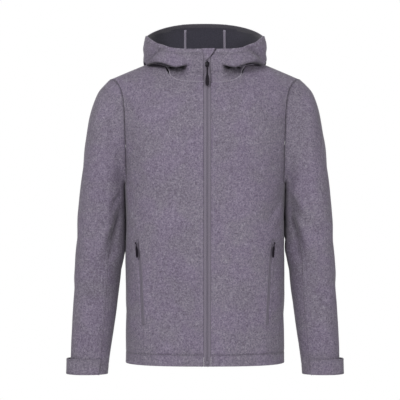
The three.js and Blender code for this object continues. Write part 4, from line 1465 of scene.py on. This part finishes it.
def hardPiece(name, shapes, place, material, body, node):
    # joins closed shapes into one mesh in its place, with its faces turned outwards
    mesh = bpy.data.meshes.new(name)
    points, faces = [], []
    for shapePoints, shapeFaces in shapes:
        base = len(points)
        points += [tuple(place @ Vector(point) / 1000) for point in shapePoints]
        faces += [[base + corner for corner in face] for face in shapeFaces]
    mesh.from_pydata(points, [], faces)
    work = bmesh.new()
    work.from_mesh(mesh)
    bmesh.ops.recalc_face_normals(work, faces=work.faces)
    work.to_mesh(mesh)
    work.free()
    mesh.materials.append(material)
    mesh.polygons.foreach_set("use_smooth", np.ones(len(mesh.polygons), bool))
    piece = placed(name, mesh)
    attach(piece, body)
    if node:
        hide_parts(node)


pinSizes = {"radius": 0.8, "clear": 0.35, "eye": 1.2, "lug": 1.2, "gap": 0.3}
eyeInner = pinSizes["radius"] + pinSizes["clear"]
eyeOuter = eyeInner + pinSizes["eye"]
mainPullRows = table(
    "z half thick",
    (-1.5, 1.5, 1),
    (-5, 1.8, 1.05),
    (-14, 1.7, 1),
    (-20, 2.3, 1.05),
    (-26, 3.7, 1.15),
    (-33, 4.3, 1.2),
    (-41, 4.2, 1.2),
    (-45.5, 3.2, 1.1),
    (-48, 1.1, 0.7),
)
pocketPullRows = table(
    "z half thick",
    (-1.5, 0.9, 0.8),
    (-6, 0.9, 0.8),
    (-9, 2.3, 0.95),
    (-15, 3.5, 1),
    (-27, 3.5, 1),
    (-32.4, 2.5, 0.9),
    (-34, 0.9, 0.6),
)
pulls = table(
    "name node rows eye width height thick rise tilt sway finish",
    ("main", "zip_main", mainPullRows, 5, 11, 17, 4.2, 6, 16.3, 0, sliderMetal),
    ("left_pocket", "pocket_left", pocketPullRows, 2.4, 7, 11, 2.8, 0, 1, -4, coilPlastic),
    ("right_pocket", "pocket_right", pocketPullRows, 2.4, 7, 11, 2.8, 0, 1, 4, coilPlastic),
)


def pullShapes(rows, eye, sway):
    # the grip hangs a little to one side of its eye by sway
    half, thick = through(rows, "z", "half"), through(rows, "z", "thick")
    levels = np.linspace(rows[0]["z"], rows[-1]["z"], 46)
    grip = [row["z"] for row in rows if row["half"] > 0.98 * max(row["half"] for row in rows)]
    rings = []
    for z in levels:
        x, y = oval(float(half(z)), float(thick(z)), 2.8)
        held = np.clip((z - grip[-1] - 1) / 3, 0, 1) * np.clip((grip[0] + 3 - z) / 3, 0, 1)
        slot = 0.45 * held * np.exp(-((x / 0.9) ** 4))  # the grip's long groove
        aside = sway * min(1, z / levels[-1] * 1.6) ** 0.8
        rings.append(np.stack([x + aside, y - np.sign(y) * slot, z + 0 * x], -1))
    blade = lofted(rings)
    x, radius = oval(eye / 2, pinSizes["eye"] / 2, 3.2, 16)
    out = (eyeInner + eyeOuter) / 2 + radius
    ring = [np.stack([x, out * math.cos(a), out * math.sin(a)], -1) for a in roundTurns(28)]
    return [blade, lofted(ring, closed=True)]


def sliderShapes(size):
    # the body, domed and narrower at its foot; a bridge over it; the two lugs and the pin of the pull
    out = eyeOuter + pinSizes["gap"]
    deep = size["thick"] / 2
    low, high = (size["rise"] + share * size["height"] for share in (-0.5, 0.5))
    steps = np.linspace(0, 1, 15)
    widths = size["width"] / 2 * (0.66 + 0.34 * np.clip(steps * 1.7, 0, 1) ** 0.8)
    ends = np.sqrt(np.clip(1 - np.abs(2 * steps - 1) ** 7, 0.06, 1))
    rows = zip(lerp(low, high, steps), widths * ends, deep * ends)
    body = upright(rows, 3.6, (0, out + deep))
    bridge = []
    for a in np.linspace(0, math.pi, 13):
        x, y = oval(size["width"] * 0.17, 0.55, 3, 14)
        middle = size["rise"] + 0.34 * size["height"] * math.cos(a)
        lift = out + 0.7 - 2.1 * math.sin(a) ** 0.7
        bridge.append(np.stack([x, lift - y * math.sin(a), middle + y * math.cos(a)], -1))
    reach = size["eye"] / 2 + pinSizes["gap"]
    lugs = []
    for way in (1, -1):
        at = way * (reach + pinSizes["lug"] / 2)
        rows = [(at - 0.6, 1.0, 0.9), (at - 0.4, 1.35, 1.25), (at + 0.4, 1.35, 1.25), (at + 0.6, 1.0, 0.9)]
        lugs.append(sideways(rows, 2.4))
        foot = [(at - 0.55, (out + 1) / 2, 1.0), (at + 0.55, (out + 1) / 2, 1.0)]
        lugs.append(sideways(foot, 5, ((out + 1) / 2, 0)))
    end = reach + pinSizes["lug"]
    pin = sideways([(-end - 0.2, 0.5, 0.5), (-end, 0.8, 0.8), (end, 0.8, 0.8), (end + 0.2, 0.5, 0.5)])
    return [body, lofted(bridge), *lugs, pin]


joints = {joint["name"]: joint for joint in frame["joints"]}
for size in pulls:
    body = size["name"] + "_pull"
    at, axis = (joints[body + "_hinge"][key] for key in ("pos_m", "axis"))
    yaw = math.atan2(-axis[1], -axis[0])
    hang = Matrix.Translation(Vector(at) * 1000) @ Matrix.Rotation(yaw, 4, "Z")
    lean = hang @ Matrix.Rotation(math.radians(-size["tilt"]), 4, "X")
    name, node, finish = size["name"] + "_zip", size["node"], size["finish"]
    grip = pullShapes(size["rows"], size["eye"], size["sway"])
    hardPiece(name + "_pull", grip, hang, pullRubber, body, node + "_pull")
    hardPiece(name + "_slider", sliderShapes(size), lean, finish, jacketBody, node + "_slider")

# the box that holds the zip's foot together
boxRows = [(-4.2, 3.0, 1.2), (-3.6, 3.9, 1.7), (3.6, 3.9, 1.7), (4.2, 3.0, 1.2)]
boxY, boxZ = float(zipFoot[1]) + zipSizes["boxSunk"], bodySizes["hem"] + zipSizes["boxRise"]
boxAt = Matrix.Translation((bodySizes["zipMiddle"], boxY, boxZ))
hardPiece("zip_foot_box", [upright(boxRows, 4)], boxAt, coilPlastic, jacketBody, None)
report("sliders and pulls")


# Stitches and zip teeth: one tree of Geometry Nodes sets small copies along every row

def rowTree():
    tree = bpy.data.node_groups.new("copiesAlongRows", "GeometryNodeTree")
    face = tree.interface
    face.new_socket("Geometry", in_out="INPUT", socket_type="NodeSocketGeometry")
    for name in ("Pitch", "Length", "Width", "Height", "Sideways", "Unevenness"):
        face.new_socket(name, in_out="INPUT", socket_type="NodeSocketFloat")
    face.new_socket("Finish", in_out="INPUT", socket_type="NodeSocketMaterial")
    face.new_socket("Geometry", in_out="OUTPUT", socket_type="NodeSocketGeometry")
    net = Net(tree)
    start = tree.nodes.new("NodeGroupInput")
    given = {socket.name: Wire(net, socket) for socket in start.outputs if socket.name}
    rows = net.add("GeometryNodeMeshToCurve", {}, {"Mesh": given["Geometry"]})
    spacing = {"Curve": rows, "Length": given["Pitch"]}
    even = net.add("GeometryNodeResampleCurve", {"mode": "LENGTH"}, spacing)
    tangent = net.add("GeometryNodeInputTangent")
    facing = net.add("GeometryNodeInputNamedAttribute", {"data_type": "FLOAT_VECTOR"}, {"Name": "facing"})
    across = net.add("ShaderNodeVectorMath", {"operation": "CROSS_PRODUCT"}, {0: facing, 1: tangent})
    turn = net.add("FunctionNodeAxesToRotation", {"primary_axis": "X", "secondary_axis": "Z"},
                   {"Primary Axis": tangent, "Secondary Axis": facing})
    index = net.add("GeometryNodeInputIndex")
    side = (index.math("MODULO", index, 2.0) - 0.5) * 2.0 * given["Sideways"]
    offset = net.add("ShaderNodeVectorMath", {"operation": "SCALE"}, {0: across, "Scale": side})
    stepped = net.add("GeometryNodeSetPosition", {}, {"Geometry": even, "Offset": offset})
    uneven = net.add("FunctionNodeRandomValue", {"data_type": "FLOAT"},
                     {2: 1.0 - given["Unevenness"], 3: 1.0 + given["Unevenness"], "Seed": 7}, 1)
    size = net.add("ShaderNodeCombineXYZ", {},
                   {0: given["Length"] * uneven, 1: given["Width"], 2: given["Height"]})
    bead = net.add("GeometryNodeMeshIcoSphere", {}, {"Radius": 0.5, "Subdivisions": 1})
    smooth = net.add("GeometryNodeSetShadeSmooth", {}, {"Geometry": bead})
    copies = net.add("GeometryNodeInstanceOnPoints", {},
                     {"Points": stepped, "Instance": smooth, "Rotation": turn, "Scale": size})
    real = net.add("GeometryNodeRealizeInstances", {}, {"Geometry": copies})
    finished = net.add("GeometryNodeSetMaterial", {}, {"Geometry": real, "Material": given["Finish"]})
    end = tree.nodes.new("NodeGroupOutput")
    tree.links.new(finished.socket, end.inputs["Geometry"])
    return tree


copiesAlongRows = rowTree()


def rowsOf(name, lines, values, slotName):
    points, edges, facing = [], [], []
    for linePoints, lineNormals in lines:
        base = len(points)
        points += (linePoints / 1000).tolist()
        facing += lineNormals.tolist()
        edges += [(base + i, base + i + 1) for i in range(len(linePoints) - 1)]
    mesh = bpy.data.meshes.new(name + "Rows")
    mesh.from_pydata(points, edges, [])
    mesh.attributes.new("facing", "FLOAT_VECTOR", "POINT").data.foreach_set("vector", np.ravel(facing))
    carrier = placed(name + "Rows", mesh)
    modifier = carrier.modifiers.new("copies", "NODES")
    modifier.node_group = copiesAlongRows
    for item in copiesAlongRows.interface.items_tree:
        if item.in_out == "INPUT" and item.name in values:
            modifier[item.identifier] = values[item.name]
    graph = bpy.context.evaluated_depsgraph_get()
    made = bpy.data.meshes.new_from_object(carrier.evaluated_get(graph))
    made.name = name
    if made.materials[0] is None:
        made.materials.pop(index=0)
    bpy.data.objects.remove(carrier)
    piece = placed(name, made)
    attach(piece, jacketBody)


# sizes in mm; sideways is how far the copies step to each side by turns
copyRows = table(
    "name lines slot Finish Unevenness Pitch Length Width Height Sideways",
    ("topstitching", stitchLines, "softshell", topstitch, 0.12, 3.4, 2.5, 0.9, 0.6, 0),
    ("neck_coverstitch", coverLines, "softshell", coverThread, 0.1, 1.3, 0.9, 3.4, 0.9, 0),
    ("hem_stitching", hemLines, "softshell", hemThread, 0.12, 4.1, 3, 1.4, 0.6, 0),
    ("zip_teeth", zipTrack, "zip_tape", coilPlastic, 0.0, 0.66, 1, 3.1, 1.2, 1.3),
    ("pocket_zip_teeth", pocketTrack, "zip_tape", coilPlastic, 0.0, 0.6, 1, 2.1, 0.9, 0.8),
)
for row in copyRows:
    lengths = {key: row[key] / 1000 for key in ("Pitch", "Length", "Width", "Height", "Sideways")}
    rowsOf(row["name"], row["lines"], {**row, **lengths}, row["slot"])
report("stitches and zip teeth")


# The studio: a wide pale floor, an even white surround and large soft lights, in metres and watts

studioSizes = {"floorDepth": 1.5, "floorRadius": 3, "backdrop": 1.0, "ambient": 0.38, "aim": (0, 0, -0.35)}


def studio():
    floorMaterial, net, feed = shader("paleFloor", Roughness=0.9)
    place = net.add("ShaderNodeTexCoord", out=3)
    grain = net.noise(place, 3, 2, 0.5)
    feed("Base Color", net.ramp(grain, (0.3, (0.93, 0.93, 0.93)), (0.7, (0.96, 0.96, 0.96))))
    x, y = oval(studioSizes["floorRadius"], studioSizes["floorRadius"], 2, 64)
    mesh = bpy.data.meshes.new("studioFloor")
    mesh.from_pydata([(*place, -studioSizes["floorDepth"]) for place in zip(x, y)], [], [list(range(64))])
    mesh.materials.append(floorMaterial)
    floor = placed("studioFloor", mesh)
    # the white surround is lit by itself, and gives the jacket only part of its light
    world = bpy.data.worlds.new("surround")
    world.use_nodes = True
    net = Net(world.node_tree)
    background = world.node_tree.nodes["Background"]
    background.inputs["Color"].default_value = (1, 1, 1, 1)
    seen = net.add("ShaderNodeLightPath")
    strength = seen * (studioSizes["backdrop"] - studioSizes["ambient"]) + studioSizes["ambient"]
    world.node_tree.links.new(strength.socket, background.inputs["Strength"])
    bpy.context.scene.world = world
    bpy.context.scene.view_settings.view_transform = "Standard"
    lamps = table(
        "name at size energy",
        ("keyLight", (-1.5, -2.9, 1.4), 1.2, 83),
        ("fillLight", (1.6, -3.0, 0.4), 1.4, 44),
        ("backLight", (-1.0, 3.4, 1.0), 1.5, 36),
        ("backFill", (1.0, 3.4, 0.3), 1.5, 26),
        ("topLight", (0.2, 0.4, 2.4), 1.4, 6),
    )
    for lamp in lamps:
        data = bpy.data.lights.new(lamp["name"], "AREA")
        data.shape = "DISK"
        data.size = lamp["size"]
        data.energy = lamp["energy"]
        item = placed(lamp["name"], data)
        item.location = lamp["at"]
        toAim = Vector(studioSizes["aim"]) - Vector(lamp["at"])
        item.rotation_euler = toAim.to_track_quat("-Z", "Y").to_euler()


studio()
report("studio")
